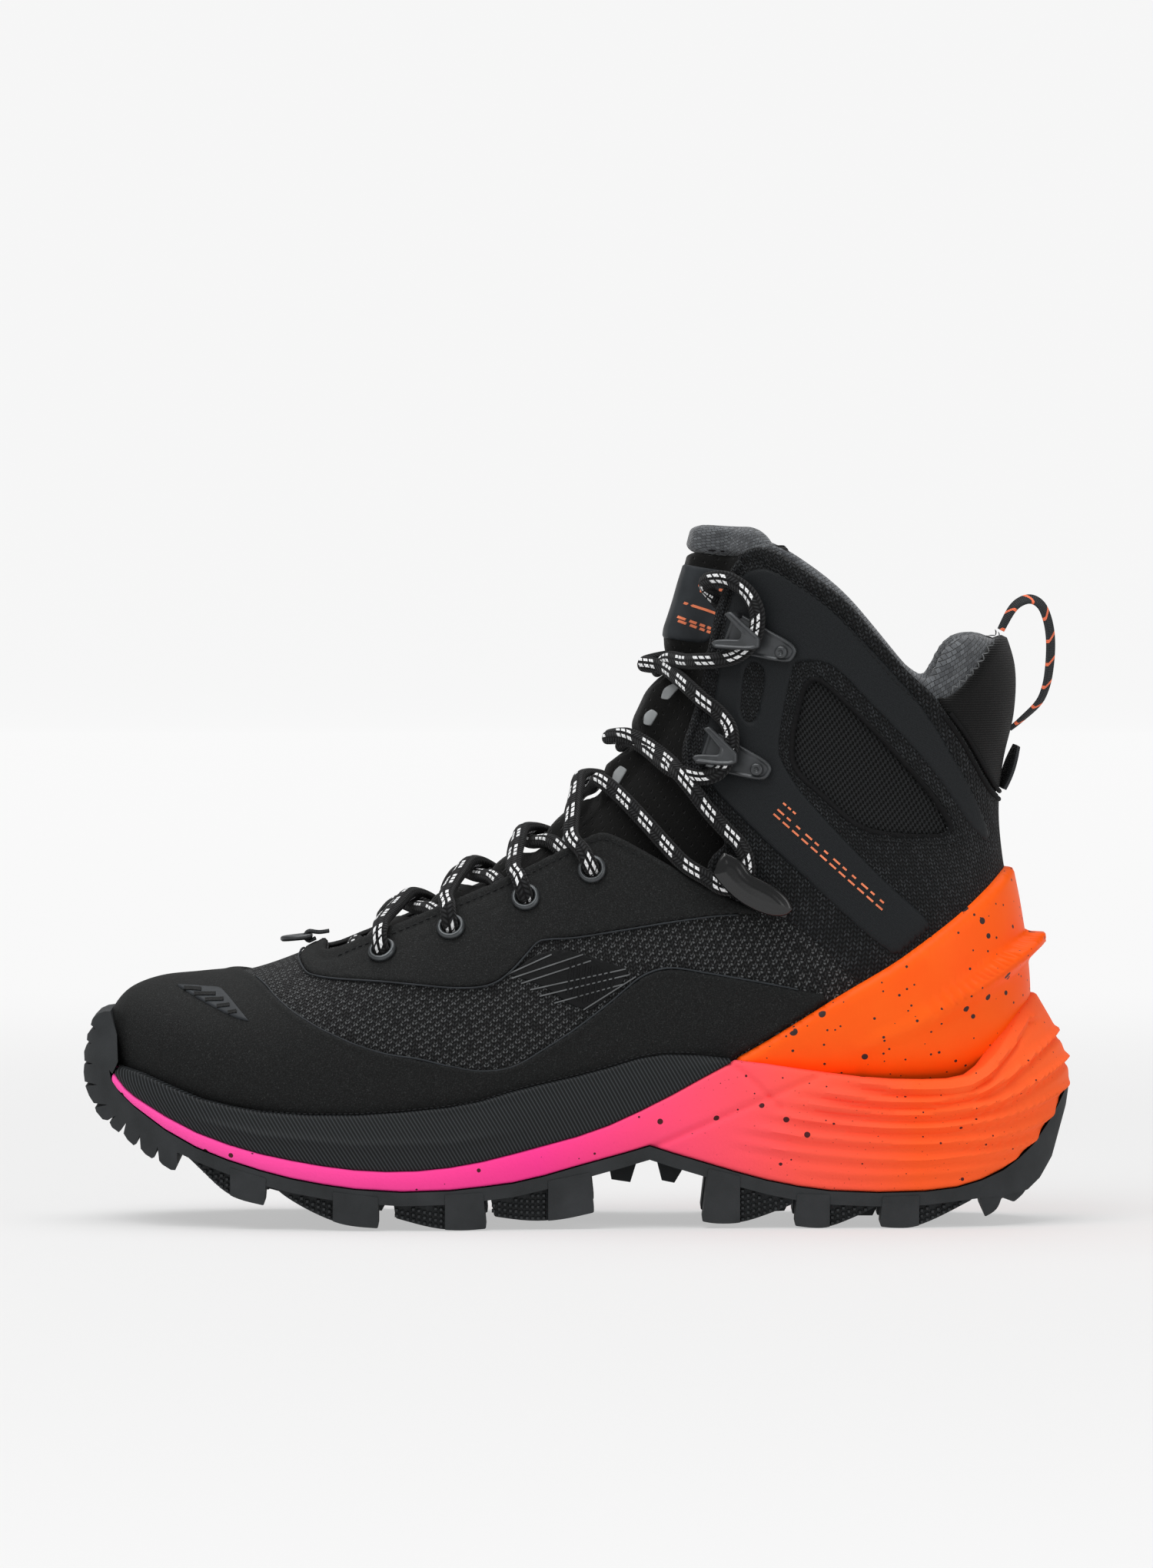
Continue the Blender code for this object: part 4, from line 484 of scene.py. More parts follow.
def ring_faces(rings, count, closed=False, around=None):
    """Faces between neighbouring rings of count points; closed joins the last ring to the first."""
    return [[i * count + j, i * count + (j + 1) % count,
             (i + 1) % rings * count + (j + 1) % count, (i + 1) % rings * count + j]
            for i in range(rings if closed else rings - 1) for j in range(around or count)]


def end_faces(rings, count):
    """The faces that close the first and the last ring."""
    return [list(range(count)), [(rings - 1) * count + j for j in reversed(range(count))]]


def prism_faces(count):
    """The faces of a solid between two equal outlines of count points."""
    faces = [list(range(count)), list(range(count, 2 * count))]
    return faces + [[i, (i + 1) % count, count + (i + 1) % count, count + i] for i in range(count)]


def circle(count):
    """Angles of count points evenly round a circle."""
    return np.linspace(0, math.tau, count + 1)[:-1]


def sweep(points, across, up, section):
    """A tube mesh: section(k) gives the outline at point k in its across and up directions."""
    rings = []
    for k in range(len(points)):
        outline = section(k)
        rings.append(points[k] + outline[:, :1] * across[k] + outline[:, 1:] * up[k])
    shape = len(rings), len(rings[0])
    return np.concatenate(rings), ring_faces(*shape) + end_faces(*shape)


def frames(points, up):
    """Directions across and up along a line, given roughly which way is up at each point."""
    t = np.gradient(points, axis=0)
    t /= np.linalg.norm(t, axis=1, keepdims=True)
    across = np.cross(up, t)
    across /= np.linalg.norm(across, axis=1, keepdims=True)
    return across, np.cross(t, across)


def resampled(points, step):
    """A line read at even steps from a smooth curve through its points."""
    points = np.asarray(points, float)
    dense = catmull(points, np.linspace(0, len(points) - 1, 24 * len(points)))
    length = np.concatenate([[0], np.cumsum(np.linalg.norm(np.diff(dense, axis=0), axis=1))])
    count = max(int(length[-1] / step), 2)
    at = np.linspace(0, length[-1], count)
    return np.stack([np.interp(at, length, dense[:, k]) for k in range(dense.shape[1])], 1)


def joined(parts):
    """Several meshes as one list of points and one of faces."""
    points, faces, at = [], [], 0
    for p, f in parts:
        points.append(p)
        faces += [[k + at for k in face] for face in f]
        at += len(p)
    return np.concatenate(points), faces


# ---------------------------------------------------------------- materials
def linear(colour):
    return [(c / 255 / 12.92) if c / 255 < 0.04045 else ((c / 255 + 0.055) / 1.055) ** 2.4 for c in colour]


class Look:
    """A procedural material, built node by node."""

    def __init__(self, name, colour, roughness, **sockets):
        self.mat = bpy.data.materials.new(name)
        self.mat.use_nodes = True
        self.tree = self.mat.node_tree
        self.shader = self.tree.nodes["Principled BSDF"]
        self.base = (*linear(colour), 1)
        self.shader.inputs["Base Color"].default_value = self.base
        self.shader.inputs["Roughness"].default_value = roughness
        self.shader.inputs["Specular IOR Level"].default_value = 0.5 if roughness < 0.5 else 0.16
        for key, value in sockets.items():
            self.shader.inputs[key.replace("_", " ")].default_value = value
        self.height = None

    def node(self, kind, settings=None, **inputs):
        node = self.tree.nodes.new("ShaderNode" + kind)
        for key, value in (settings or {}).items():
            setattr(node, key, value)
        for key, value in inputs.items():
            socket = node.inputs[int(key[1:])] if key[0] == "_" else node.inputs[key.replace("_", " ")]
            if isinstance(value, bpy.types.NodeSocket):
                self.tree.links.new(value, socket)
            else:
                socket.default_value = value
        return node

    def math(self, operation, a, b=0.0, c=0.0):
        return self.node("Math", {"operation": operation}, _0=a, _1=b, _2=c).outputs[0]

    def uv(self):
        """The piece's own millimetre coordinates."""
        made = self.node("UVMap", {"uv_map": "mm"}).outputs[0]
        return self.node("VectorMath", {"operation": "SCALE"}, _0=made, Scale=100.0).outputs[0]

    def spot(self):
        """Place on the object, in millimetres."""
        made = self.node("TexCoord").outputs["Object"]
        return self.node("VectorMath", {"operation": "SCALE"}, _0=made, Scale=1000.0).outputs[0]

    def turned(self, vector, angle=0.0, scale=(1, 1, 1)):
        return self.node("Mapping", Vector=vector, Rotation=(0, 0, angle), Scale=scale).outputs[0]

    def noise(self, vector, size, detail=3.0, rough=0.55):
        noise = self.node("TexNoise", Vector=vector, Scale=1 / size, Detail=detail, Roughness=rough)
        return noise.outputs["Fac"]

    def cells(self, vector, size, random=1.0, feature="F1"):
        return self.node("TexVoronoi", {"feature": feature}, Vector=vector, Scale=1 / size, Randomness=random)

    def ramp(self, value, stops, ease="LINEAR"):
        node = self.node("ValToRGB", Fac=value)
        node.color_ramp.interpolation = ease
        points = node.color_ramp.elements
        while len(points) < len(stops):
            points.new(0.5)
        for point, (at, colour) in zip(points, stops):
            point.position = at
            point.color = colour if isinstance(colour, tuple) else (colour, colour, colour, 1)
        return node.outputs[0]

    def colours(self, value, *stops):
        return self.ramp(value, [(at, (*linear(c), 1)) for at, c in stops])

    def mix(self, share, a, b):
        node = self.node("Mix", {"data_type": "RGBA"})
        for socket, value in zip((node.inputs[0], node.inputs[6], node.inputs[7]), (share, a, b)):
            if isinstance(value, bpy.types.NodeSocket):
                self.tree.links.new(value, socket)
            else:
                socket.default_value = value if isinstance(value, float) else (*linear(value), 1)
        return node.outputs[2]

    def colour(self, socket):
        self.tree.links.new(socket, self.shader.inputs["Base Color"])
        return self

    def rough(self, socket):
        self.tree.links.new(socket, self.shader.inputs["Roughness"])
        return self

    def bump(self, height, distance, strength=1.0):
        """Adds relief: distance is the height of a full step, in millimetres."""
        extra = {"Normal": self.height} if self.height else {}
        node = self.node("Bump", Height=height, Distance=distance * MM, Strength=strength, **extra)
        self.height = node.outputs[0]
        self.tree.links.new(self.height, self.shader.inputs["Normal"])
        return self


def stitch_height(k, uv, wide, tall):
    """Columns of V stitches: 0 in the gaps, 1 on the yarn."""
    x, y, _ = k.node("SeparateXYZ", _0=uv).outputs
    column = k.math("FRACT", k.math("DIVIDE", x, wide))
    away = k.math("ABSOLUTE", k.math("MULTIPLY_ADD", column, 2.0, -1.0))
    along = k.math("FRACT", k.math("ADD", k.math("DIVIDE", y, tall), k.math("MULTIPLY", away, 0.75)))
    yarn = k.math("SINE", k.math("MULTIPLY", along, math.pi))
    side = k.math("SINE", k.math("MULTIPLY", away, math.pi))
    return k.math("MULTIPLY", k.math("POWER", yarn, 0.7), k.math("POWER", side, 0.45))


def flecked(k, uv, wide, tall, share):
    """Which stitches are of the paler yarn."""
    grid = k.node("VectorMath", {"operation": "DIVIDE"}, _0=uv, _1=(wide, tall, 1.0)).outputs[0]
    cell = k.node("VectorMath", {"operation": "FLOOR"}, _0=grid).outputs[0]
    chance = k.node("TexWhiteNoise", {"noise_dimensions": "2D"}, Vector=cell).outputs["Value"]
    return k.math("GREATER_THAN", share, chance)


def knit_look():
    """Engineered knit: staggered V stitches, some of a paler yarn."""
    k = Look("knit", (20, 21, 22), 0.88, Sheen_Weight=0.06, Sheen_Roughness=0.5)
    uv = k.turned(k.uv(), 0.2)
    yarn = stitch_height(k, uv, 1.9, 1.25)
    x, y, _ = k.node("SeparateXYZ", _0=uv).outputs
    column = k.math("FLOOR", k.math("DIVIDE", x, 0.95))
    row = k.math("FLOOR", k.math("DIVIDE", y, 1.25))
    turn = k.math("FRACT", k.math("DIVIDE", k.math("ADD", column, k.math("MULTIPLY", row, 3.0)), 5.0))
    pale = k.math("MULTIPLY", k.math("GREATER_THAN", 0.3, turn), flecked(k, uv, 0.95, 1.25, 0.85))
    # The pale yarn fades out towards the gaps, and the colour follows the yarn's height: painted shade, near
    # black, in the gaps between stitches and painted light on the yarn's crown.
    pale = k.math("MULTIPLY", pale, k.ramp(yarn, [(0.35, 0.0), (0.8, 0.75)]))
    shade = k.colours(yarn, (0.0, (2, 2, 2)), (0.5, (14, 14, 15)), (1.0, (44, 45, 46)))
    k.colour(k.mix(pale, shade, (96, 98, 99)))
    return k.bump(yarn, 0.55).bump(k.noise(k.uv(), 0.35), 0.12)


def frame_knit_look():
    """Coarse slanted knit round the window and along the collar."""
    k = Look("coarse_knit", (22, 23, 24), 0.9, Sheen_Weight=0.05)
    uv = k.turned(k.uv(), 0.85)
    yarn = stitch_height(k, uv, 2.3, 1.2)
    pale = k.math("MULTIPLY", flecked(k, uv, 1.15, 1.2, 0.3), k.math("GREATER_THAN", yarn, 0.6))
    # The colour follows the yarn's height: painted shade, near black, in the gaps between stitches and
    # painted light on the yarn's crown; the pale yarn shows only on the crown.
    shade = k.colours(yarn, (0.0, (1, 1, 2)), (0.5, (10, 11, 12)), (1.0, (36, 38, 40)))
    k.colour(k.mix(k.math("MULTIPLY", pale, 0.3), shade, (74, 77, 80)))
    return k.bump(yarn, 0.6)


def guard_look():
    """Matte microfibre, with a fine speckled nap."""
    k = Look("microfibre", (20, 21, 21), 0.78)
    fine = k.noise(k.spot(), 0.42, 2.0, 0.75)
    k.colour(k.colours(fine, (0.32, (14, 14, 14)), (0.52, (24, 25, 25)), (0.66, (38, 39, 39)),
                       (0.8, (72, 73, 73))))
    return k.bump(fine, 0.1).bump(k.noise(k.spot(), 9.0), 0.5, 0.25)


def film_look():
    """Smooth welded film."""
    k = Look("film", (24, 26, 28), 0.52)
    x, y, _ = k.node("SeparateXYZ", _0=k.turned(k.uv(), 0.6)).outputs
    weave = k.math("MULTIPLY", k.math("SINE", k.math("MULTIPLY", x, math.tau / 0.8)),
                   k.math("SINE", k.math("MULTIPLY", y, math.tau / 0.8)))
    grain = k.noise(k.uv(), 0.6, 3.0)
    k.colour(k.colours(grain, (0.3, (20, 22, 24)), (0.8, (30, 33, 35))))
    return k.bump(weave, 0.03).bump(grain, 0.05)


def window_look():
    """Fine open mesh in slanted rows."""
    k = Look("mesh_window", (20, 21, 22), 0.8)
    uv = k.turned(k.uv(), -0.35)
    x, y, _ = k.node("SeparateXYZ", _0=uv).outputs
    holes = k.math("MULTIPLY", k.math("SINE", k.math("MULTIPLY", x, math.tau / 2.3)),
                   k.math("SINE", k.math("MULTIPLY", y, math.tau / 1.9)))
    open_ = k.ramp(holes, [(0.0, 1.0), (0.28, 0.0)])
    # open_ is 0 in the mesh's openings and 1 on its raised threads. The colour follows it: painted shade,
    # near black, in the openings and painted light on the threads.
    k.colour(k.colours(open_, (0.0, (1, 1, 1)), (0.5, (5, 5, 5)), (1.0, (32, 33, 34))))
    return k.bump(open_, 0.5)


def tongue_look():
    """Spacer textile with rows of small vents."""
    k = Look("tongue_textile", (24, 23, 22), 0.92, Sheen_Weight=0.1)
    uv = k.uv()
    fine = k.noise(uv, 0.45, 2.0, 0.7)
    vents = k.cells(k.turned(uv, 0.0, (1, 1.3, 1)), 4.2, 0.12).outputs["Distance"]
    hole = k.ramp(vents, [(0.1, 0.0), (0.17, 1.0)])
    cloth = k.colours(fine, (0.3, (4, 4, 4)), (0.7, (20, 20, 19)), (0.85, (42, 41, 39)))
    # The vents are painted near black, as painted shade inside them; the cloth between them differs in tone
    # at random.
    k.colour(k.mix(hole, (4, 4, 4), cloth))
    return k.bump(hole, 0.5).bump(fine, 0.12)


def rib_look(name, colour, dark):
    """Fine horizontal ribs, as behind the heel."""
    k = Look(name, colour, 0.9, Sheen_Weight=0.1)
    ribs = k.node("TexWave", {"wave_type": "BANDS", "bands_direction": "Z"}, Vector=k.spot(),
                  Scale=1 / 0.75 / math.tau * 2, Distortion=0.5, Detail=1.0).outputs[1]
    fine = k.noise(k.spot(), 0.4, 2.0, 0.7)
    # The colour darkens to dark in the grooves between the ribs, as painted shade, and varies at random with
    # the fine noise.
    k.colour(k.mix(k.math("MULTIPLY", ribs, fine), dark, colour))
    return k.bump(ribs, 0.2).bump(fine, 0.12)


def lining_look():
    """Grey jersey over foam, in small diagonal cells."""
    k = Look("lining_jersey", (72, 74, 77), 0.95, Sheen_Weight=0.3)
    uv = k.uv()
    cells = k.node("TexBrick", {"offset": 0.5}, Vector=k.turned(uv, 0.8), Scale=1.0, Mortar_Size=0.14,
                   Mortar_Smooth=1.0, Brick_Width=1.6, Row_Height=1.1, Color1=(1, 1, 1, 1),
                   Color2=(0.55, 0.55, 0.55, 1), Mortar=(0, 0, 0, 1)).outputs[0]
    # The brick mortar, the grooves between the cells, is painted darker as shade; the cells differ in tone at
    # random.
    k.colour(k.colours(cells, (0.0, (34, 35, 37)), (0.6, (74, 76, 79)), (1.0, (98, 101, 104))))
    return k.bump(cells, 0.28).bump(k.noise(uv, 0.4), 0.1)


def specks(k, vector, size, radius, share):
    """1 in round specks of differing size, thinly scattered."""
    cell = k.cells(vector, size)
    chance, grow, _ = k.node("SeparateColor", Color=cell.outputs["Color"]).outputs
    here = k.math("GREATER_THAN", share, chance)
    limit = k.math("MULTIPLY_ADD", grow, radius * 0.7, radius * 0.3)
    return k.math("MULTIPLY", here, k.math("GREATER_THAN", limit, cell.outputs["Distance"]))


def foam_look():
    """Midsole foam, pink at the toe and orange at the heel, with dark specks."""
    k = Look("midsole_foam", (255, 80, 110), 0.62, Subsurface_Weight=0.0)
    spot = k.spot()
    x = k.node("SeparateXYZ", _0=spot).outputs[0]
    along = k.node("MapRange", Value=x, From_Min=-150.0, From_Max=157.0).outputs[0]
    base = k.colours(along, (0.0, (253, 82, 168)), (0.45, (251, 58, 144)), (0.6, (255, 78, 112)),
                     (0.72, (255, 88, 74)), (0.84, (255, 92, 36)), (1.0, (255, 102, 46)))
    dots = k.math("MAXIMUM", specks(k, spot, 8.0, 0.15, 0.6), specks(k, spot, 2.8, 0.16, 0.35))
    heel = k.node("MapRange", Value=x, From_Min=-20.0, From_Max=70.0).outputs[0]
    fine = k.math("MULTIPLY", specks(k, spot, 1.3, 0.2, 0.3), heel)
    shade = k.mix(k.math("MULTIPLY", fine, 0.5), base, (150, 30, 20))
    k.colour(k.mix(dots, shade, (72, 26, 30)))
    return k.bump(k.noise(spot, 0.9), 0.1)


def tpu_look():
    """Moulded orange plastic with dark specks of several sizes."""
    k = Look("cradle_tpu", (250, 106, 34), 0.5)
    spot = k.spot()
    dots = k.math("MAXIMUM", specks(k, spot, 6.4, 0.24, 0.75), specks(k, spot, 2.6, 0.2, 0.5))
    shade = k.colours(k.noise(spot, 30.0), (0.3, (255, 88, 8)), (0.75, (255, 100, 16)))
    k.colour(k.mix(dots, shade, (58, 44, 42)))
    return k.bump(k.noise(spot, 0.5), 0.02)


def rubber_look():
    k = Look("outsole_rubber", (38, 40, 43), 0.7)
    fine = k.noise(k.spot(), 0.6)
    k.colour(k.colours(k.noise(k.spot(), 14.0), (0.3, (42, 44, 45)), (0.8, (56, 58, 60))))
    return k.bump(fine, 0.07)


def rand_look():
    """Rubber with fine slanted ridges."""
    k = Look("rand_rubber", (42, 45, 48), 0.58)
    x, y, _ = k.node("SeparateXYZ", _0=k.uv()).outputs
    slant = k.math("ADD", x, k.math("MULTIPLY", y, 0.55))
    ridge = k.math("SINE", k.math("MULTIPLY", slant, math.tau / 1.25))
    line = k.ramp(ridge, [(0.0, 0.0), (0.6, 1.0)])
    # Lighter on each ridge's crown and darker between the ridges: a painted highlight along every ridge and
    # painted shade in the grooves.
    k.colour(k.colours(line, (0.0, (22, 24, 25)), (1.0, (56, 59, 61))))
    return k.bump(line, 0.45)


def lace_look():
    """Round braid of slanted strands, with groups of white dashes in its middle rows."""
    k = Look("lace_braid", (18, 18, 19), 0.85, Sheen_Weight=0.05)
    u, v, _ = k.node("SeparateXYZ", _0=k.uv()).outputs
    rows = k.math("MULTIPLY", v, 4.0)
    row, across = k.math("FLOOR", rows), k.math("FRACT", rows)
    way = k.math("MULTIPLY_ADD", k.math("MODULO", row, 2.0), 2.0, -1.0)
    herring = k.math("FRACT", k.math("DIVIDE", k.math("ADD", u, k.math("MULTIPLY", way, across)), 1.1))
    strand = k.math("MULTIPLY", k.math("SINE", k.math("MULTIPLY", herring, math.pi)),
                    k.math("POWER", k.math("SINE", k.math("MULTIPLY", across, math.pi)), 0.5))
    slanted = k.math("SUBTRACT", u, k.math("MULTIPLY_ADD", across, 1.6, k.math("MULTIPLY", row, 1.3)))
    dash = k.math("FRACT", k.math("DIVIDE", slanted, 2.3))
    group = k.math("FRACT", k.math("DIVIDE", slanted, 11.5))
    white = k.math("MULTIPLY", k.math("GREATER_THAN", 0.6, group), k.math("GREATER_THAN", dash, 0.26))
    edge = k.math("ABSOLUTE", k.math("MULTIPLY_ADD", across, 2.0, -1.0))
    white = k.math("MULTIPLY", white, k.math("GREATER_THAN", 0.52, edge))
    middle = k.math("GREATER_THAN", 1.05, k.math("ABSOLUTE", k.math("SUBTRACT", row, 1.5)))
    white = k.math("MULTIPLY", white, middle)
    # The braid's colour follows the strands' height: painted shade between the strands and painted light on
    # their crowns. The white dashes are the lace's own colour.
    dark = k.colours(strand, (0.0, (4, 4, 5)), (0.5, (20, 20, 21)), (1.0, (44, 45, 46)))
    k.colour(k.mix(white, dark, (236, 237, 238)))
    return k.bump(strand, 0.4).bump(white, 0.15)


def webbing_look(dashes):
    """Woven tape; on the pull loop with orange dashes."""
    k = Look("pull_webbing" if dashes else "webbing", (30, 31, 32), 0.9)
    uv = k.uv()
    u, v, _ = k.node("SeparateXYZ", _0=uv).outputs
    weave = k.math("MULTIPLY", k.math("SINE", k.math("MULTIPLY", k.math("ADD", u, v), math.tau / 1.1)),
                   k.math("SINE", k.math("MULTIPLY", k.math("SUBTRACT", u, v), math.tau / 1.1)))
    high = k.math("MULTIPLY_ADD", weave, 0.5, 0.5)
    # The tape's colour follows the weave's height: painted shade in its low places and painted light on the
    # raised threads. The orange dashes are the tape's own colour.
    shade = k.colours(high, (0.0, (12, 12, 13)), (1.0, (62, 64, 66)))
    if dashes:
        along = k.math("ADD", u, k.math("MULTIPLY", v, 0.35))
        dash = k.math("GREATER_THAN", 0.14, k.math("FRACT", k.math("DIVIDE", along, 7.4)))
        shade = k.mix(dash, shade, (240, 120, 84))
    k.colour(shade)
    return k.bump(high, 0.2)


def plain_look(name, colour, roughness, grain=0.8, depth=0.03, **sockets):
    k = Look(name, colour, roughness, **sockets)
    fine = k.noise(k.spot(), grain)
    dark, light = [c * 0.86 for c in colour], [min(c * 1.12, 255) for c in colour]
    k.colour(k.colours(k.noise(k.spot(), 7.0), (0.3, dark), (0.75, light)))
    return k.bump(fine, depth)


looks = {
    "knit": knit_look(), "coarse": frame_knit_look(), "guard": guard_look(), "film": film_look(),
    "window": window_look(), "tongue": tongue_look(),
    "heel": rib_look("heel_textile", (22, 22, 22), (8, 8, 8)),
    "lining": lining_look(), "foam": foam_look(), "tpu": tpu_look(), "rubber": rubber_look(),
    "rand": rand_look(), "lace": lace_look(), "webbing": webbing_look(False), "pull": webbing_look(True),
    "hook": plain_look("hook_enamel", (64, 66, 68), 0.34, Metallic=0.45),
    "keeper": plain_look("keeper_gloss", (12, 13, 14), 0.22, 3.0, 0.05, Coat_Weight=0.15, Coat_Roughness=0.1),
    "eyelet": plain_look("eyelet_satin", (70, 73, 75), 0.3, 0.8, 0.02, Metallic=0.6),
    "thread": plain_look("thread", (34, 35, 36), 0.85, 0.3, 0.05),
    "pale_thread": plain_look("pale_thread", (96, 98, 99), 0.8, 0.3, 0.05),
    "label": plain_look("tongue_patch", (44, 47, 50), 0.5, 0.7, 0.03),
    "print": plain_look("orange_print", (236, 130, 92), 0.6, 0.5, 0.02),
    "silver": plain_look("reflective_strip", (138, 141, 142), 0.45, 0.5, 0.02),
    "board": plain_look("pressed_board", (196, 190, 172), 0.9, 0.5, 0.1),
    "black": plain_look("piping", (18, 18, 19), 0.85, 0.4, 0.08),
    "gloss": plain_look("hatch_film", (12, 13, 14), 0.5, 1.6, 0.4),
}
looks = {key: look.mat for key, look in looks.items()}


# ---------------------------------------------------------------- depths that vary over the form
def collar_share(p):
    """0 in the foot to 1 in the padded collar."""
    return smooth((p.z - 112 - 0.30 * (130 - p.x)) / 34) * smooth((p.x - 62) / 22)


def lining_outer(p):
    stiffened = np.maximum(smooth((-70 - p.x) / 14), smooth((p.x - 40) / 24))
    return -(1.9 + 1.5 * stiffened + 5.0 * collar_share(p))


def shaft_share(p):
    return smooth((p.z - 130) / 40)


def tongue_wing(p):
    return smooth((np.abs(p.y) - 8) / 11)


def tongue_outer(p):
    """Full between the laces, deeper where its wings run behind the quarters."""
    wing = 7.9 + 2.7 * shaft_share(p)
    ridge = 3.6 - 1.6 * smooth((p.z - 182) / 8)
    return -(ridge + (wing - ridge) * tongue_wing(p))


def tongue_inner(p):
    ridge = 7.9 - 5.6 * smooth((p.z - 186) / 8)
    wing = 7.9 + 2.7 * shaft_share(p)
    return -(ridge + (wing - ridge) * tongue_wing(p)) - (3.2 + 2.8 * shaft_share(p))


whole = whole_lattice(430, 300)
field_x, field_z, field_y = whole.p[..., 0], whole.p[..., 2], whole.p[..., 1]


def inside(outline, sharp=1.2):
    return distance_in(rounded(outline, sharp), field_x, field_z)


def on_side(field, side):
    return np.minimum(field, side * field_y - 0.05)


def line_field(line):
    return distance_to(rounded(line, closed=False), field_x, field_z)


def above_sole(field, under):
    """Only the part that shows above the sole unit, and a little under its edge."""
    edge = np.interp(field_x, *np.array(RAND_TOP + CRADLE_TOP[1:]).T)
    return np.minimum(field, field_z - edge + under)


# ---------------------------------------------------------------- lacing route, as in the CAD
OVER_EDGE, UNDER_EDGE = 4.3, -4.6           # the cord's middle above and under the eyestay
LACE_STEP = 0.5
RIDGE_TOP, RIDGE_LOW = 0.25, -4.6
UNDER_HOOK = 6.0
EYELET_CROSSINGS = (((-60, 93.2), -53, (-43.5, 100.4)), ((-40, 102), -33.5, (-23.5, 109.0)),
                    ((-19, 111.2), -16.5, (-3.5, 119.0)))


def ridge_station(x):
    t = np.linspace(0, TOP, 2000)
    return float(np.interp(x, form(t, 0 * t)[:, 0], t))


def run(start, end, depths):
    t = np.linspace(0, 1, len(depths))
    s = start[0] + (end[0] - start[0]) * t
    a = start[1] + (end[1] - start[1]) * t
    return list(skin(s, a, np.array(depths, float)))


def at(x, z, side):
    s, a = locate(x, z, side)
    return float(s), float(a)


def through_eyelet(x, z, side, towards):
    """From under the eyestay up through an eyelet, then back over its brim towards a place on the edge."""
    s, a = locate(x, z, side)
    centre, normal = skin(s, a, 0), normals(s, a)
    edge = on_skin(*towards, side, 0) - centre
    edge -= normal * (edge @ normal)
    edge /= np.linalg.norm(edge)
    path = ((3.0, -4.9), (0.9, -4.0), (0.0, -1.8), (0.0, 2.2), (0.9, 4.5), (3.4, 5.6), (6.2, 5.1))
    return [centre + edge * along + normal * height for along, height in path]


def lace_half(side, upper_strand):
    """One end of the lace from the first bar up to its aglet, starting on this side."""
    points = []
    for k, (leave, ridge, reach) in enumerate(EYELET_CROSSINGS):
        x, z = EYELETS[k]
        points += through_eyelet(x, z, side, leave)
        top = RIDGE_TOP if upper_strand[k] else RIDGE_LOW
        peak = (ridge_station(ridge), 0.0)
        points += run(at(*leave, side), peak, (OVER_EDGE - 0.2, max(top, 1.0), top))
        points += run(peak, at(*reach, -side), (top, (top + UNDER_EDGE) / 2 - 0.6, UNDER_EDGE))[1:]
        side = -side
    x, z = EYELETS[3]
    points += through_eyelet(x, z, side, (0.5, 120.5))
    top = RIDGE_TOP if upper_strand[3] else RIDGE_LOW
    peak = (ridge_station(1.5), 0.0)
    points += run(at(-0.5, 121.5, side), peak, (OVER_EDGE - 0.2, 1.4, max(top, -2.0), top))
    points += run(peak, at(33, 115.6, -side), (top, -2.6, -3.8, -3.0, 1.4))[1:]
    side = -side
    keeper = ((41, 110.2, 4.3), (46, 107.2, 5.6), (50.5, 107.4, UNDER_HOOK), (53.6, 111.0, UNDER_HOOK),
              (53.6, 115.8, UNDER_HOOK), (51.5, 120.6, 5.0), (46.6, 125.8, 4.0), (42.0, 131.0, 4.0),
              (37.4, 137.2, 4.3), (33.0, 142.6, 3.7))
    points += [on_skin(x, z, side, d) for x, z, d in keeper]
    top = RIDGE_TOP if upper_strand[4] else RIDGE_LOW
    peak = (ridge_station(10.4), 0.0)
    points += run(at(28.6, 147.4, side), peak, (-1.2, -4.4, min(top, -2.5), top))
    points += run(peak, at(29, 145.2, -side), (top, -4.4, -4.4, 0.2))[1:]
    side = -side
    lower = ((35.0, 142.2, 3.2), (40.5, 141.2, 4.6), (45.4, 142.6, UNDER_HOOK), (48.6, 146.8, UNDER_HOOK),
             (50.2, 152.0, UNDER_HOOK), (49.6, 157.6, 5.2), (46.0, 162.2, 4.1), (41.0, 166.2, 3.9),
             (36.5, 170.0, 2.4))
    points += [on_skin(x, z, side, d) for x, z, d in lower]
    top = RIDGE_TOP if upper_strand[5] else RIDGE_LOW
    peak = (ridge_station(21.6), 0.0)
    points += run(at(31.5, 173.5, side), peak, (-1.0, -4.0, top))
    points += run(peak, at(34.0, 178.5, -side), (top, -4.0, -0.5))[1:]
    side = -side
    upper = ((40.0, 178.2, 3.4), (46.0, 178.6, 4.6), (52.4, 180.2, UNDER_HOOK), (56.8, 184.2, UNDER_HOOK),
             (58.8, 189.4, UNDER_HOOK), (58.6, 195.2, 5.2), (55.6, 200.6, 4.1), (50.6, 204.2, 4.1),
             (46.2, 204.6, 4.1))
    points += [on_skin(x, z, side, d) for x, z, d in upper]
    tucked = ((42.0, 203.0, 2.0), (41.4, 199.4, -3.4), (45.0, 194.5, -7.2), (51.0, 188.0, -7.6),
              (54.0, 178.0, -7.6), (56.0, 166.0, -7.6), (57.5, 152.0, -7.6), (59.0, 138.0, -7.6),
              (62.0, 122.0, -7.8))
    points += [on_skin(x, z, side, d) for x, z, d in tucked]
    return points


def lace_route():
    first = lace_half(LATERAL, (True, False, True, False, True, False))
    second = lace_half(MEDIAL, (False, True, False, True, False, True))
    bar = [skin(ridge_station(-72.5), a, d) for a, d in ((-0.36, -4.4), (0.0, -4.6), (0.36, -4.4))]
    return resampled([*reversed(first), *bar, *second], LACE_STEP)


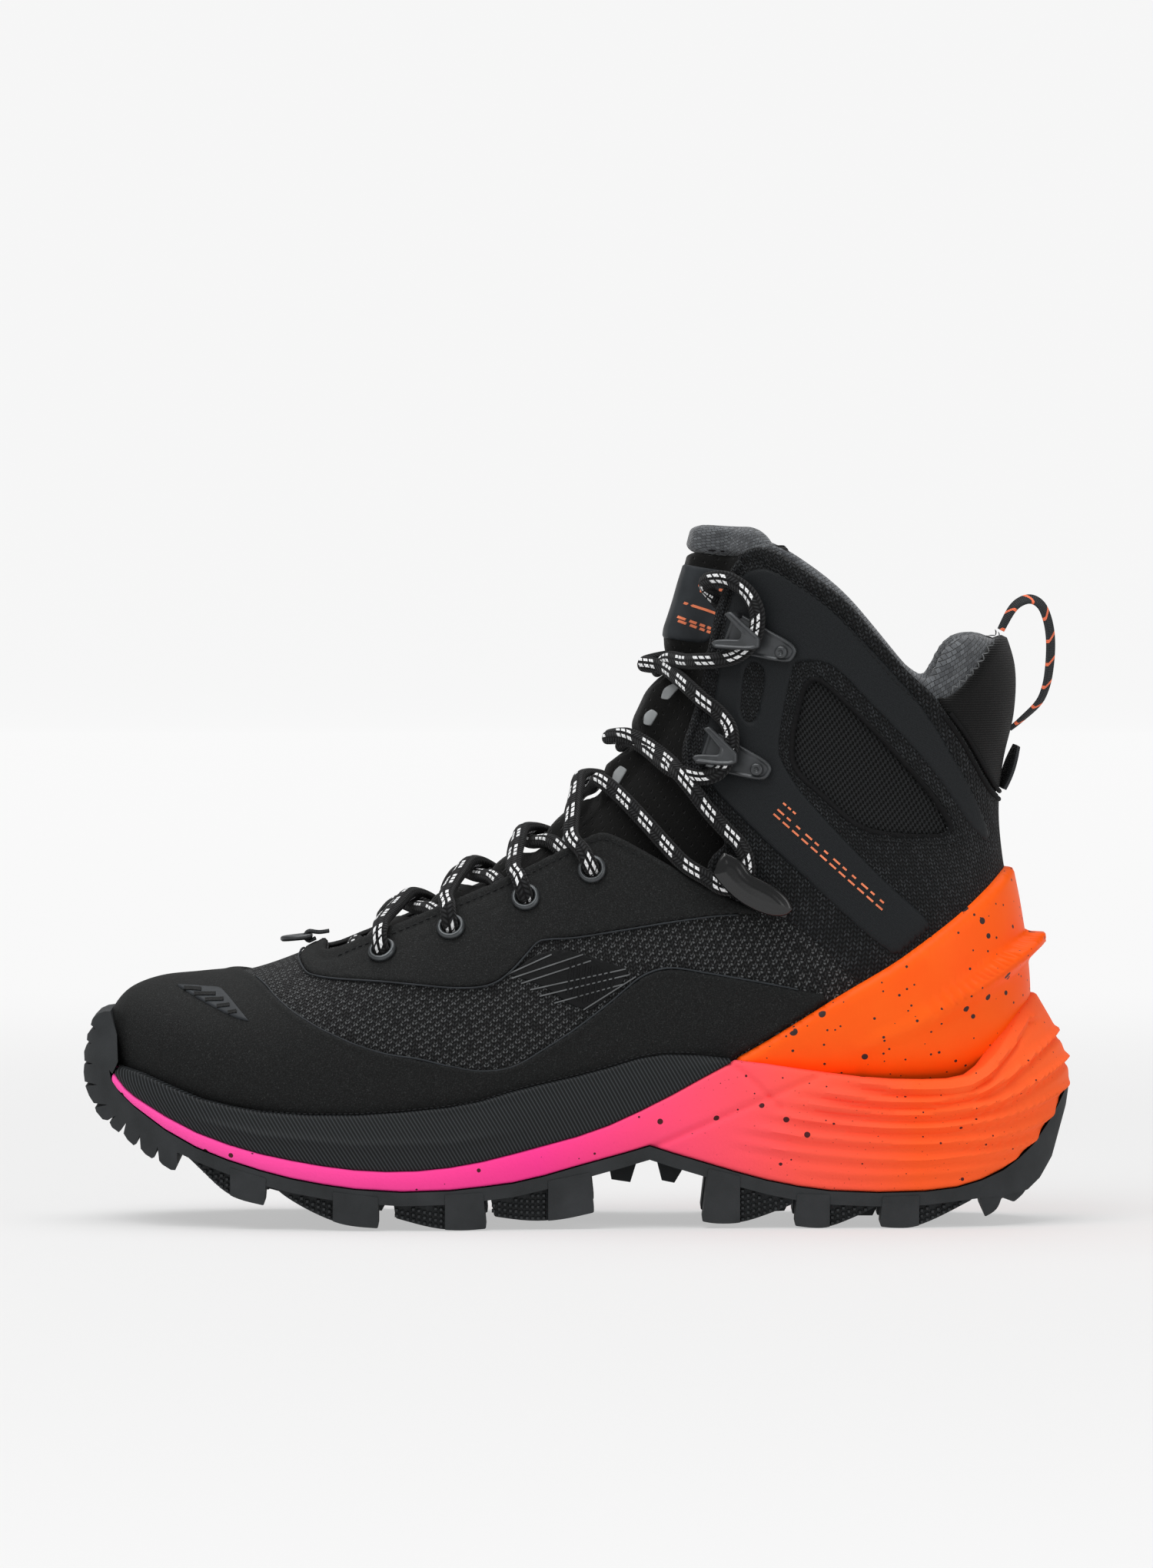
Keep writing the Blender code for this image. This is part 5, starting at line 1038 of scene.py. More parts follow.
lace_line = lace_route()
lace_tree = KDTree(len(lace_line))
for number, point in enumerate(lace_line):
    lace_tree.insert(Vector(point), number)
lace_tree.balance()
skin_tree = KDTree(whole.p.shape[0] * whole.p.shape[1])
for number, point in enumerate(whole.p.reshape(-1, 3)):
    skin_tree.insert(Vector(point), number)
skin_tree.balance()
skin_normals = whole.n.reshape(-1, 3)


def near_skin(points):
    """The form's normal nearest each point."""
    return np.array([skin_normals[skin_tree.find(Vector(p))[1]] for p in points])


def make_lace():
    up = near_skin(lace_line)
    for _ in range(4):
        up = (up + np.roll(up, 1, 0) + np.roll(up, -1, 0)) / 3
    across, up = frames(lace_line, up)
    angle = circle(20)
    outline = np.stack([2.55 * np.cos(angle), 2.1 * np.sin(angle)], 1)
    points, faces = sweep(lace_line, across, up, lambda k: outline)
    count = len(angle)
    length = np.arange(len(lace_line)) * LACE_STEP
    u = np.repeat(length, count)
    v = np.tile(np.where(angle > math.pi, 2 * math.pi - angle, angle) / math.pi, len(lace_line))
    make("lace_cord", points, faces, looks["lace"], np.stack([u, v], 1), node="lace", slot="lace")
    for name, tip, before in (("a", lace_line[-1], lace_line[-3]), ("b", lace_line[0], lace_line[2])):
        axis = (tip - before) / np.linalg.norm(tip - before)
        profile = ((0.0, 0.3), (1.5, 0.3), (1.7, 0.8), (1.65, 19.0), (1.2, 20.0), (0.0, 20.2))
        turned(f"aglet_tip_{name}", profile, tip, axis, looks["hook"], 24, node=f"aglet_{name}",
               slot="hardware")


# ---------------------------------------------------------------- turned and plate parts
def turned(name, profile, place, axis, look, count=32, **more):
    """A round part: profile holds radius and height pairs, and closes on its axis or on itself."""
    towards = Vector(axis).normalized()
    across = towards.orthogonal().normalized()
    third = towards.cross(across)
    t, c, o = np.array(towards), np.array(across), np.array(third)
    points = []
    for k in range(count):
        angle = math.tau * k / count
        out = c * math.cos(angle) + o * math.sin(angle)
        points += [np.asarray(place) + out * r + t * h for r, h in profile]
    n = len(profile)
    around = n if profile[0][0] > 0 else n - 1
    faces = ring_faces(count, n, closed=True, around=around)
    if profile[0][0] > 0:
        return make(name, points, faces, look, **more)
    mesh_points, keep, merged = [], {}, []
    for p in points:
        key = tuple(np.round(p, 5))
        if key not in keep:
            keep[key] = len(mesh_points)
            mesh_points.append(p)
        merged.append(keep[key])
    tidy = []
    for face in faces:
        face = list(dict.fromkeys(merged[k] for k in face))
        if len(face) > 2:
            tidy.append(face)
    return make(name, mesh_points, tidy, look, **more)


def fitted(name, profile, x, z, side, look, count, node):
    """A round part set square on the form at a place in side view."""
    s, a = locate(x, z, side)
    turned(name, profile, skin(s, a, 0), normals(s, a), look, count, node=node, slot="hardware")


def plate(name, outline, side, outer, inner, look, radius=0.6, step=0.35, sharp=0.6, **more):
    """A small plate with rounded edges that follows the skin."""
    outline = rounded(outline, sharp)
    lattice = patch_lattice(outline, side, step)
    field = distance_in(outline, lattice.p[..., 0], lattice.p[..., 2])
    depth = outer if callable(outer) else rolled(outer, max(inner + 0.1, outer - radius), radius)
    return shell(name, lattice, field, depth, inner, look, **more)


def join(made):
    """Joins pieces that are one part into the first."""
    first = made[0]
    bm = bmesh.new()
    for piece in made:
        bm.from_mesh(piece.data)
    bm.to_mesh(first.data)
    bm.free()
    for piece in made[1:]:
        bpy.data.objects.remove(piece)


# ---------------------------------------------------------------- the upper
def make_upper():
    outline = [(-170, 0), (-170, 95), (-79.5, 95), *THROAT, *QUARTER_FRONT, *COLLAR, *COLLAR_STRIP,
               (160, 131), (160, 0)]
    field = above_sole(np.minimum(inside(outline), -inside(WINDOW, 2.5)), 6)
    shell("upper_knit", whole, field, rolled(0.0, -0.9, 1.0), -1.6, looks["knit"],
          node="upper_shell", slot="knit")
    collar = [(112.7, 169.2), *[(x + 0.3, z + 0.3) for x, z in COLLAR_STRIP], (165, 133), (165, 188),
              *reversed(HEEL_COLLAR)]
    field = inside(collar)
    shell("heel_panel", whole, field, rolled(0.3, -0.9, 1.4), -1.6, looks["heel"],
          node="heel_collar_panel", slot="tongue")


def make_window(side):
    def sunk(p):
        return -0.9 - 0.7 * smooth(p.e / 9)
    field = on_side(inside(WINDOW, 2.5) + 0.4, side)
    shell(f"window_mesh_{SIDES[side]}", whole, field, sunk, -2.2, looks["window"],
          node=f"ankle_window_{SIDES[side]}", slot="window")
    rim = 0.9 - np.abs(inside(WINDOW, 2.5) + 0.8)
    shell(f"window_rim_{SIDES[side]}", whole, on_side(rim, side), rolled(1.0, 0.1, 0.8), -0.3,
          looks["black"], slot="knit")


def make_guard():
    foot = [(79, 71.4), (70, 65.8), (60, 59.6), (49.7, 53.9), (49.7, 20), (-170, 20), (-170, 90)]
    field = above_sole(inside([*GUARD_TOP, *foot]), 4)

    def ridge(p):
        return 0.3 * np.exp(-((p.e - 1.1) / 0.7) ** 2)
    shell("guard_skin", whole, field, lambda p: rolled(1.15, 0.1, 0.8)(p) + ridge(p), -0.2, looks["guard"],
          node="toe_guard", slot="film")


def make_eyestay(side):
    outline = [(-79.5, 95), *THROAT, (50, 103.3), (55, 101.2), *EYESTAY_FOOT]
    field = on_side(inside(outline), side)

    def raised(p):
        seam = distance_to(THROAT_LINE, p.x, p.z)
        return (0.55 * np.exp(-((seam - 0.9) / 1.1) ** 2) - 0.28 * np.exp(-((seam - 2.9) / 0.5) ** 2)
                - 0.2 * np.exp(-((seam - 7.4) / 0.45) ** 2))
    shell(f"eyestay_skin_{SIDES[side]}", whole, field, lambda p: rolled(1.3, 0.1, 0.9)(p) + raised(p),
          -0.2, looks["guard"], node=f"eyestay_{SIDES[side]}", slot="film")


def make_quarter_knit(side):
    """The coarse knitted quarter, sewn over the finer knit of the foot."""
    outline = [(50, 103.6), (60, 99.6), (68, 96.4), (76, 90), (84, 82), (92, 75), (150, 100),
               (150, 133), *reversed(COLLAR_STRIP), *reversed(COLLAR), *reversed(QUARTER_FRONT)]
    field = on_side(above_sole(np.minimum(inside(outline), -inside(WINDOW, 2.5)), 4), side)
    shell(f"quarter_knit_{SIDES[side]}", whole, field, rolled(0.5, 0.05, 0.7), -0.3, looks["coarse"],
          slot="knit")


def make_quarter(side):
    band = np.minimum(inside(QUARTER_BAND, 1.5), -inside(SLOT, 1.5))
    film = on_side(band, side)
    shell(f"quarter_film_{SIDES[side]}", whole, film, rolled(1.05, 0.1, 0.7), -0.2, looks["film"],
          node=f"quarter_band_{SIDES[side]}", slot="band")
    slot = on_side(inside(SLOT, 1.5) + 0.3, side)
    shell(f"slot_knit_{SIDES[side]}", whole, slot, 0.25, -0.4, looks["coarse"], slot="knit")
    shaft = inside([(30, 100), *QUARTER_FRONT, *COLLAR, (150, 100)])
    front = line_field(QUARTER_FRONT)
    binding = on_side(np.minimum(shaft, 3.1 - front), side)
    shell(f"front_binding_{SIDES[side]}", whole, binding, rolled(1.2, 0.1, 0.9), -0.3, looks["coarse"],
          slot="knit")
    top = line_field(COLLAR)
    collar = on_side(np.minimum(shaft, 4.4 - top), side)

    def piped(p):
        edge = distance_to(COLLAR_LINE, p.x, p.z)
        return 1.5 * np.sqrt(np.clip(1 - ((edge - 1.3) / 1.5) ** 2, 0, 1))
    shell(f"collar_binding_{SIDES[side]}", whole, collar,
          lambda p: rolled(0.7, 0.1, 0.9)(p) + piped(p), -0.4, looks["coarse"], slot="knit")


# ---------------------------------------------------------------- inside: tongue, lining, footbed
FOOT_LINE = form(np.linspace(0.6, 17.4, 30), np.full(30, math.pi))[:, [0, 2]]      # the form's underside


def make_tongue():
    body = [(-90, 96), *TONGUE_FOOT, (60, 215.0), (30, 215.0), (0, 215), (-90, 110)]
    field = inside(body)

    def pressed(p):
        depth = tongue_outer(p)
        reach = np.array([lace_tree.find(Vector(q))[2] for q in p.p])
        low = np.where(reach < 9, -7.6, depth)
        share = np.exp(-(np.clip(reach - 2.0, 0, None) / 3.4) ** 2)
        sunk = depth + (np.minimum(low, depth) - depth) * share
        edge = smooth(p.e / 3.5)
        bottom = tongue_inner(p)
        return bottom + 0.3 + (sunk - bottom - 0.3) * np.sqrt(edge)
    piece = shell("tongue_pad", whole, field, pressed, tongue_inner, looks["tongue"],
                  node="tongue", slot="tongue")
    cap = inside([(56, 207), (55.8, 214.5), (53, 218.6), (49, 221.4), (44.5, 222.4), (40.5, 222.6),
                  (36, 222.2), (26, 221), (26, 213.6), (45, 213)], 2.0)

    def cap_outer(p):
        middle = (tongue_outer(p) + tongue_inner(p)) / 2
        half = (tongue_outer(p) - tongue_inner(p)) / 2 + 0.9
        return middle + half * np.sqrt(1 - (1 - np.clip(p.e / 2.6, 0, 1)) ** 2)

    def cap_inner(p):
        middle = (tongue_outer(p) + tongue_inner(p)) / 2
        return 2 * middle - cap_outer(p) - 0.05
    piece = shell("tongue_cap_roll", whole, cap, cap_outer, cap_inner, looks["lining"],
                  node="tongue_cap", slot="lining")
    label = inside([(20, 186.5), (34.5, 186), (38.5, 190), (40, 208), (30, 210), (20, 210)], 2.0)
    shell("tongue_patch", whole, label, lambda p: tongue_outer(p) + 0.5 * smooth(p.e / 0.6),
          lambda p: tongue_outer(p) - 0.5, looks["label"], node="tongue_label", slot="label")


def make_lining():
    rim = [(-165, 100), (-86, 100), *LINING_THROAT, *LINING_RIM, (165, 185), (165, 0), (-165, 0)]
    over = [*[(x, z + 4.0) for x, z in FOOT_LINE], (165, 5), (-175, 5)]
    field = np.minimum(inside(rim), -inside(over))

    def thickness(p):
        """Half of the padding's thickness: full in the collar, thin in the foot."""
        return 0.6 + 3.3 * collar_share(p)

    def middle(p):
        collar = collar_share(p)
        thin = lining_outer(p) - 0.6
        return thin * (1 - collar) - 5.8 * collar

    def roll(p):
        return np.sqrt(1 - (1 - np.clip(p.e / np.maximum(thickness(p), 0.6), 0, 1)) ** 2)
    piece = shell("lining_padding", whole, field, lambda p: middle(p) + thickness(p) * roll(p),
                  lambda p: middle(p) - thickness(p) * roll(p) - 0.02, looks["lining"],
                  node="lining", slot="lining")


def make_insole():
    under = [*[(x, z + 9.0) for x, z in FOOT_LINE if -141 < x < 131], (131.5, 10), (-142, 10)]
    field = inside(under)
    piece = shell("footbed_pad", whole, field, rolled(-5.5, -8.5, 2.0), -9.4, looks["lining"],
                  body="footbed", node="insole", slot="lining")


# ---------------------------------------------------------------- the sole unit
def smooth_level(z):
    rows = np.array(SOLE_LEVELS, float)
    return catmull(rows[:, 1:], np.interp(z, rows[:, 0], np.arange(len(rows))))


def plan_loop(count):
    """The sole's edge in plan, evenly spaced from the toe round the lateral side, and its normals."""
    plan = np.array(SOLE_PLAN, float)
    x, lateral, medial = catmull(plan, np.linspace(0, len(plan) - 1, 700)).T
    loop = np.stack([np.concatenate([x, x[-2:0:-1]]), np.concatenate([lateral, medial[-2:0:-1]])], 1)
    loop = np.concatenate([loop, loop[:1]])
    length = np.concatenate([[0], np.cumsum(np.linalg.norm(np.diff(loop, axis=0), axis=1))])
    t = np.linspace(0, length[-1], count + 1)[:-1]
    made = np.stack([np.interp(t, length, loop[:, 0]), np.interp(t, length, loop[:, 1])], 1)
    for _ in range(3):
        made = (np.roll(made, 1, 0) + made * 2 + np.roll(made, -1, 0)) / 4
    along = np.roll(made, -1, 0) - np.roll(made, 1, 0)
    along /= np.linalg.norm(along, axis=1, keepdims=True)
    return made, np.stack([-along[:, 1], along[:, 0]], 1) * -1, t


plan_xy, plan_out, plan_t = plan_loop(1100)
if plan_out[np.argmin(plan_xy[:, 0])][0] > 0:
    plan_out = -plan_out


def sole_point(column, z, out=0.0):
    """The sole's surface at a column of the plan and a height, moved outwards."""
    level = smooth_level(z)
    x, y = plan_xy[column, 0], plan_xy[column, 1]
    scale = np.where(x < 0, level[..., 0] / TOE_END, level[..., 1] / HEEL_END)
    return np.stack([x * scale + plan_out[column, 0] * out, y * level[..., 2] + plan_out[column, 1] * out,
                     np.broadcast_to(z, x.shape)], -1)


def height_on(curve, column):
    """Where the sole's surface at a column meets a side-view curve."""
    z = np.full(column.shape, 40.0)
    for _ in range(60):
        x = sole_point(column, z)[..., 0]
        z = 0.6 * z + 0.4 * np.interp(x, *np.array(curve, float).T)
    return z


def sole_band(name, columns, low, high, outward, look, closed, rows=22, depth=7.0, node=None, slot=None):
    """A band of the sole's wall between two heights per column: outward(x, z, share) is its relief."""
    share = np.concatenate([[0, 0.004], np.linspace(0.02, 0.98, rows), [0.996, 1]])
    column = np.broadcast_to(columns[:, None], (len(columns), len(share)))
    z = low[:, None] + (high - low)[:, None] * share
    edge = np.minimum(share, 1 - share) * (high - low)[:, None]
    flat = sole_point(column, z)
    out = outward(flat[..., 0], z, np.broadcast_to(share, z.shape), column)
    out = out - 0.9 * (1 - np.sqrt(1 - (1 - np.clip(edge / 0.9, 0, 1)) ** 2))
    front = sole_point(column, z, out)
    inner_z = np.linspace(1, 0, 4)
    back_column = np.broadcast_to(columns[:, None], (len(columns), 4))
    back_z = low[:, None] + (high - low)[:, None] * inner_z
    back = sole_point(back_column, back_z, -depth)
    rings = np.concatenate([front, back], 1)
    n = rings.shape[1]
    total = len(columns)
    faces = ring_faces(total, n, closed) + ([] if closed else end_faces(total, n))
    u = np.broadcast_to(plan_t[columns][:, None], (total, n))
    v = np.concatenate([z, back_z], 1)
    return make(name, rings.reshape(-1, 3), faces, look, np.stack([u.ravel(), v.ravel()], 1),
                node=node, slot=slot, sharp=50)


def make_midsole():
    columns = np.arange(len(plan_xy))
    low = height_on(OUTSOLE_TOP, columns)
    high = height_on(MIDSOLE_TOP[:-1] + CRADLE_FOOT, columns)
    front = sole_point(columns, low)[:, 0]
    thin = smooth((-146.5 - front) / 2)

    def relief(x, z, share, column):
        swell = 0.9 * np.sin(np.clip(share, 0, 1) * math.pi) ** 0.5
        waves = 0.0
        for line, size in HEEL_WAVES:
            line = catmull(line, np.linspace(0, len(line) - 1, 40))
            away = z - np.interp(x, line[:, 0], line[:, 1])
            fade = smooth((x - line[0, 0]) / 22) * smooth((line[-1, 0] + 5 - x) / 5)
            wave = np.exp(-(away / 1.2) ** 2) - 0.7 * np.exp(-((away + 2.3) / 1.3) ** 2)
            waves = waves + size * fade * wave
        crease = 0.0
        for line in (((20, 24), (50, 37), (82, 50.5)), ((44, 56), (56, 46), (64, 38))):
            crease = crease - 0.9 * np.exp(-(distance_to(np.array(line, float), x, z) / 1.0) ** 2)
        return swell + waves + crease * smooth((x - 16) / 8) - 4.5 * thin[column]
    sole_band("midsole_foam", columns, low, np.maximum(high, low + 0.4), relief, looks["foam"], True, rows=34,
              node="midsole", slot="foam")


def make_rand():
    x = sole_point(np.arange(len(plan_xy)), np.full(len(plan_xy), 45.0))[:, 0]
    keep = x < 49.5
    first = int(np.argmin(keep))
    last = len(keep) - int(np.argmin(keep[::-1]))
    columns = np.concatenate([np.arange(last, len(keep)), np.arange(0, first)])
    low, high = height_on(MIDSOLE_TOP, columns), height_on(RAND_TOP, columns)
    front = sole_point(columns, low)[:, 0]
    thin = dict(zip(columns.tolist(), smooth((-146.0 - front) / 2)))

    def relief(x, z, share, column):
        hidden = np.vectorize(thin.get)(column)
        middle = np.interp(x, (-148, -120, -100, -70, -40, -20, 50), (47, 34.5, 30, 27, 27.5, 31, 50))
        height = z - middle
        fold = smooth((x + 130) / 20) * smooth((-8 - x) / 30)
        upper = np.clip(height / 9.0, 0, 1)
        lean = -2.4 * upper * fold + 0.5 * np.exp(-(height / 1.2) ** 2) * fold
        lean = lean - 0.9 * smooth((share - 0.5) / 0.5) * (1 - fold)
        return 0.3 + lean - 3.5 * hidden
    sole_band("rand_strip", columns, low, np.maximum(high, low + 0.3), relief, looks["rand"], False, rows=26,
              node="rand", slot="rand")


def solid(points, faces):
    mesh = bpy.data.meshes.new("solid")
    mesh.from_pydata([list(map(float, p)) for p in points], [], faces)
    bm = bmesh.new()
    bm.from_mesh(mesh)
    bmesh.ops.recalc_face_normals(bm, faces=bm.faces)
    bm.to_mesh(mesh)
    bm.free()
    made = bpy.data.objects.new("solid", mesh)
    bpy.context.scene.collection.objects.link(made)
    return made


def prism(outline, y0=-90.0, y1=90.0):
    points = [(x, y, z) for y in (y0, y1) for x, z in outline]
    return solid(points, prism_faces(len(outline)))


def combine(target, cutter, operation):
    """Applies one Boolean in the script's own millimetres, and removes the cutter."""
    modifier = target.modifiers.new("cut", "BOOLEAN")
    modifier.operation, modifier.solver, modifier.object = operation, "EXACT", cutter
    bpy.context.view_layer.update()
    mesh = bpy.data.meshes.new_from_object(target.evaluated_get(bpy.context.evaluated_depsgraph_get()))
    target.modifiers.clear()
    target.data = mesh
    bpy.data.objects.remove(cutter)
    return target


def mesh_of(target):
    """A work object's points and faces, and its removal."""
    points = np.array([v.co for v in target.data.vertices])
    faces = [list(p.vertices) for p in target.data.polygons]
    bpy.data.objects.remove(target)
    return points, faces


def envelope(grow=0.0, toe=0.0, z0=-2.0, z1=76.0, rows=40, stride=3):
    """The sole unit's outside, with its toe let out so that the bumper's outline shapes it."""
    columns = np.arange(0, len(plan_xy), stride)
    front = smooth((-146 - plan_xy[columns, 0]) / 8)
    rings = []
    for z in np.linspace(z0, z1, rows):
        out = grow + front * (toe + 2.5 * smooth((z - 56) / 10))
        rings.append(sole_point(columns, np.full(len(columns), z), out))
    n = len(columns)
    faces = [list(range(n)), list(range((rows - 1) * n, rows * n))]
    return solid(np.concatenate(rings), faces + ring_faces(rows, n))


def make_outsole():
    tread = [(x, z - TREAD_T) for x, z in OUTSOLE_TOP if -124 < x < 126]
    lowered = [(x, z - 0.3) for x, z in OUTSOLE_TOP]
    body = [*BUMPER_LOBES, *lowered, *HEEL_WRAP, *reversed(tread)]
    rubber = combine(envelope(0.6, toe=1.8), prism(body), "INTERSECT")
    rows, columns = 24, 40
    s = np.linspace(0.4, 20, rows)
    a = np.linspace(-math.pi, math.pi, columns + 1)[:-1]
    grid_s, grid_a = np.meshgrid(s, a, indexing="ij")
    foot = skin(grid_s, grid_a, 0.6).reshape(-1, 3)
    foot = solid(foot, ring_faces(rows, columns) + end_faces(rows, columns))
    rubber = combine(rubber, foot, "DIFFERENCE")
    blocks = [mesh_of(rubber)]
    for number, lug in enumerate(SIDE_LUGS):
        for side in SIDES:
            blocks += lug_block(np.array(lug, float), side, number)
    for lug in CENTRE_LUGS:
        blocks.append(mesh_of(prism(lug, -CENTRE_LUG_HALF, CENTRE_LUG_HALF)))
    make("outsole_tread", *joined(blocks), looks["rubber"], node="outsole", slot="rubber", sharp=35)


def edge_y(x, z, side):
    """Where the sole's wall is at a place in side view."""
    level = smooth_level(z)
    plan_x = np.where(x < 0, x * TOE_END / level[..., 0], x * HEEL_END / level[..., 1])
    half = plan_xy[:, 1] < 6 if side == LATERAL else plan_xy[:, 1] > 0
    order = np.argsort(plan_xy[half, 0])
    return np.interp(plan_x, plan_xy[half, 0][order], plan_xy[half, 1][order]) * level[..., 2]


def cut_at(outline, x, keep_low):
    """The part of a convex-enough outline on one side of x."""
    made = []
    for (ax, az), (bx, bz) in zip(outline, np.roll(outline, -1, 0)):
        if (ax < x) == keep_low:
            made.append((ax, az))
        if (ax < x) != (bx < x):
            made.append((x, az + (bz - az) * (x - ax) / (bx - ax)))
    return np.array(made)


def run_in(outline, side, out, inner_y):
    """An outline on the sole's wall, moved out and run in to a depth across the sole."""
    outer = np.array([(x, edge_y(x, np.array(z), side) + side * out, z) for x, z in outline])
    inner = outer.copy()
    inner[:, 1] = inner_y
    return np.concatenate([outer, inner]), prism_faces(len(outline))


def lug_block(lug, side, number):
    """A side lug: a solid block, and a set-back wing with rows of small studs."""
    outline = rounded(lug, 0.7)
    wall = edge_y(lug[:, 0].mean(), np.array(14.0), side)
    if number == 7:
        return [run_in(outline, side, 0.7, side * 0.8)]
    inner_y = wall - side * LUG_REACH
    low_x, high_x = outline[:, 0].min(), outline[:, 0].max()
    front = number < 4
    split = low_x + (0.56 if front else 0.42) * (high_x - low_x)
    blocks = [run_in(cut_at(outline, split, not front), side, 0.9, inner_y),
              run_in(cut_at(outline, split, front), side, -1.3, inner_y)]
    start, end = (low_x + 1.2, split - 0.8) if front else (split + 0.8, high_x - 1.2)
    for row in range(6):
        for x in np.arange(start, end, 1.75):
            z = lug_foot(outline, x) + 0.9 + 1.8 * row
            if z > lug_roof(x) - 0.8:
                continue
            y = float(edge_y(np.array(x), np.array(z), side))
            blocks.append(stud(x, y - side * 1.3, z, side))
    return blocks


def lug_foot(outline, x):
    """The lowest z of an outline at x."""
    p, q = outline, np.roll(outline, -1, 0)
    crossing = (p[:, 0] - x) * (q[:, 0] - x) <= 0
    t = (x - p[crossing, 0]) / np.where(q[crossing, 0] == p[crossing, 0], 1, q[crossing, 0] - p[crossing, 0])
    z = p[crossing, 1] + t * (q[crossing, 1] - p[crossing, 1])
    return float(z.min()) if len(z) else 99.0


def lug_roof(x):
    return float(np.interp(x, *np.array(OUTSOLE_TOP, float).T)) - TREAD_T


def stud(x, y, z, side):
    """A small pyramid stud that stands out of a lug's face."""
    w, h, out = 0.62, 0.6, 1.5
    base = [(x - w, y - side * 0.3, z - h), (x + w, y - side * 0.3, z - h),
            (x + w, y - side * 0.3, z + h), (x - w, y - side * 0.3, z + h)]
    top = [(x - w * 0.6, y + side * out, z - h * 0.8), (x + w * 0.6, y + side * out, z - h * 0.8),
           (x + w * 0.6, y + side * out, z + h * 0.4), (x - w * 0.6, y + side * out, z + h * 0.4)]
    faces = [[0, 1, 2, 3], [4, 5, 6, 7], [0, 1, 5, 4], [1, 2, 6, 5], [2, 3, 7, 6], [3, 0, 4, 7]]
    return np.array(base + top), faces


def make_cradle():
    foot = [(x, z - 1.5) for x, z in CRADLE_FOOT]
    field = inside([*CRADLE_TOP, (160, 113), (160, 71), *reversed(foot)], 1.0)
    fin = rounded([*FIN_TOP, *FIN_FOOT], 0.5)

    def outer(p):
        base = rolled(3.4, 0.6, 1.8)(p)
        inside_fin = distance_in(fin, p.x, p.z)
        top = np.interp(p.x, *np.array(FIN_TOP, float).T)
        foot_z = np.interp(p.x, *np.array(sorted(FIN_FOOT), float).T)
        share = np.clip((p.z - foot_z) / np.maximum(top - foot_z, 0.5), 0, 1)
        lift = 5.6 * smooth((p.x - 100) / 42) + 0.8 * smooth((p.x - 84) / 12)
        shape = np.clip(share / 0.6, 0, 1) ** 1.3 * smooth((1 - share) / 0.14)
        return base + lift * np.where(inside_fin > -0.5, np.clip(shape, 0, 1.0), 0)
    shell("cradle_shell", whole, field, outer, -0.2, looks["tpu"], node="heel_cradle", slot="tpu")


# ---------------------------------------------------------------- sewing and printed marks
class Spot:
    """A place on the form as the depth functions read it."""

    def __init__(self, x, z, side):
        self.x, self.y, self.z = on_skin(x, z, side, 0.0).T


def laid(points, side, depth, rise):
    """Side-view points put on the boot at a depth, which may depend on the place."""
    x, z = np.asarray(points, float).T
    base = depth(Spot(x, z, side)) if callable(depth) else depth
    return on_skin(x, z, side, base + rise)


def stitches(name, path, side, depth, look, length=1.5, gap=0.9, radius=0.24, swing=0.0,
             slot="knit"):
    """Stitches sewn along a side-view path, in line or in a zigzag."""
    line = resampled(np.asarray(path, float), 0.1)
    parts = []
    per = int((length + gap) / 0.1)
    for number, first in enumerate(range(0, len(line) - per, per)):
        p, q = line[first], line[first + int(length / 0.1)]
        if swing:
            normal = np.array([-(q - p)[1], (q - p)[0]]) / max(np.linalg.norm(q - p), 1e-6)
            p, q = p + normal * swing * (number % 2 * 2 - 1), q - normal * swing * (number % 2 * 2 - 1)
        share = np.linspace(0, 1, 5)
        flat = p + (q - p) * share[:, None]
        rise = np.array([-0.15, 0.12, 0.18, 0.12, -0.15]) + radius * 0.4
        points = laid(flat, side, depth, rise)
        across, up = frames(points, np.tile(normals(*locate(p[0], p[1], side)), (5, 1)))
        angle = circle(6)
        thin = np.array([0.5, 1.0, 1.0, 1.0, 0.5]) * radius
        parts.append(sweep(points, across, up, lambda k: np.stack([thin[k] * np.cos(angle),
                                                                   thin[k] * np.sin(angle)], 1)))
    make(name, *joined(parts), look, slot=slot)


def marks(name, strokes, side, depth, look, width=0.6, rise=0.16, slot="label"):
    """Printed strokes: thin raised bars between pairs of side-view places."""
    parts = []
    for p, q in strokes:
        p, q = np.array(p, float), np.array(q, float)
        normal = np.array([-(q - p)[1], (q - p)[0]]) / np.linalg.norm(q - p) * width / 2
        line = p + (q - p) * np.linspace(0, 1, 6)[:, None]
        corners = [line + normal, line - normal]
        top = [laid(c, side, depth, rise) for c in corners]
        low = [laid(c, side, depth, -0.3) for c in corners]
        rings = np.stack([top[0], top[1], low[1], low[0]], 1)
        parts.append((rings.reshape(-1, 3), ring_faces(6, 4) + end_faces(6, 4)))
    make(name, *joined(parts), look, slot=slot, flat=True)


def piping(name, path, side, depth, radius, look):
    """A thin round edge line laid on the boot along a side-view path."""
    line = resampled(np.asarray(path, float), 0.7)
    points = laid(line, side, depth, 0.0)
    across, up = frames(points, normals(*locate(line[:, 0], line[:, 1], side)))
    angle = circle(8)
    ring = radius * np.stack([np.cos(angle), np.sin(angle)], 1)
    make(name, *sweep(points, across, up, lambda k: ring), look, slot="knit")


def band_strokes():
    """Plain double dashes in a row down the quarter's band, and three small ones above them."""
    along, up = np.array([0.749, -0.663]), np.array([0.663, 0.749])
    start, made = np.array([62.2, 130.6]), []
    for number in range(12):
        at_ = start + along * 3.9 * number
        long_, short = 2.7, 1.6 if number % 3 else 2.7
        made.append((at_, at_ + along * long_))
        made.append((at_ + up * 1.9, at_ + up * 1.9 + along * short))
    for number in range(3):
        at_ = start + up * 4.6 + along * (2.0 * number)
        made.append((at_, at_ + along * 1.2))
    return made


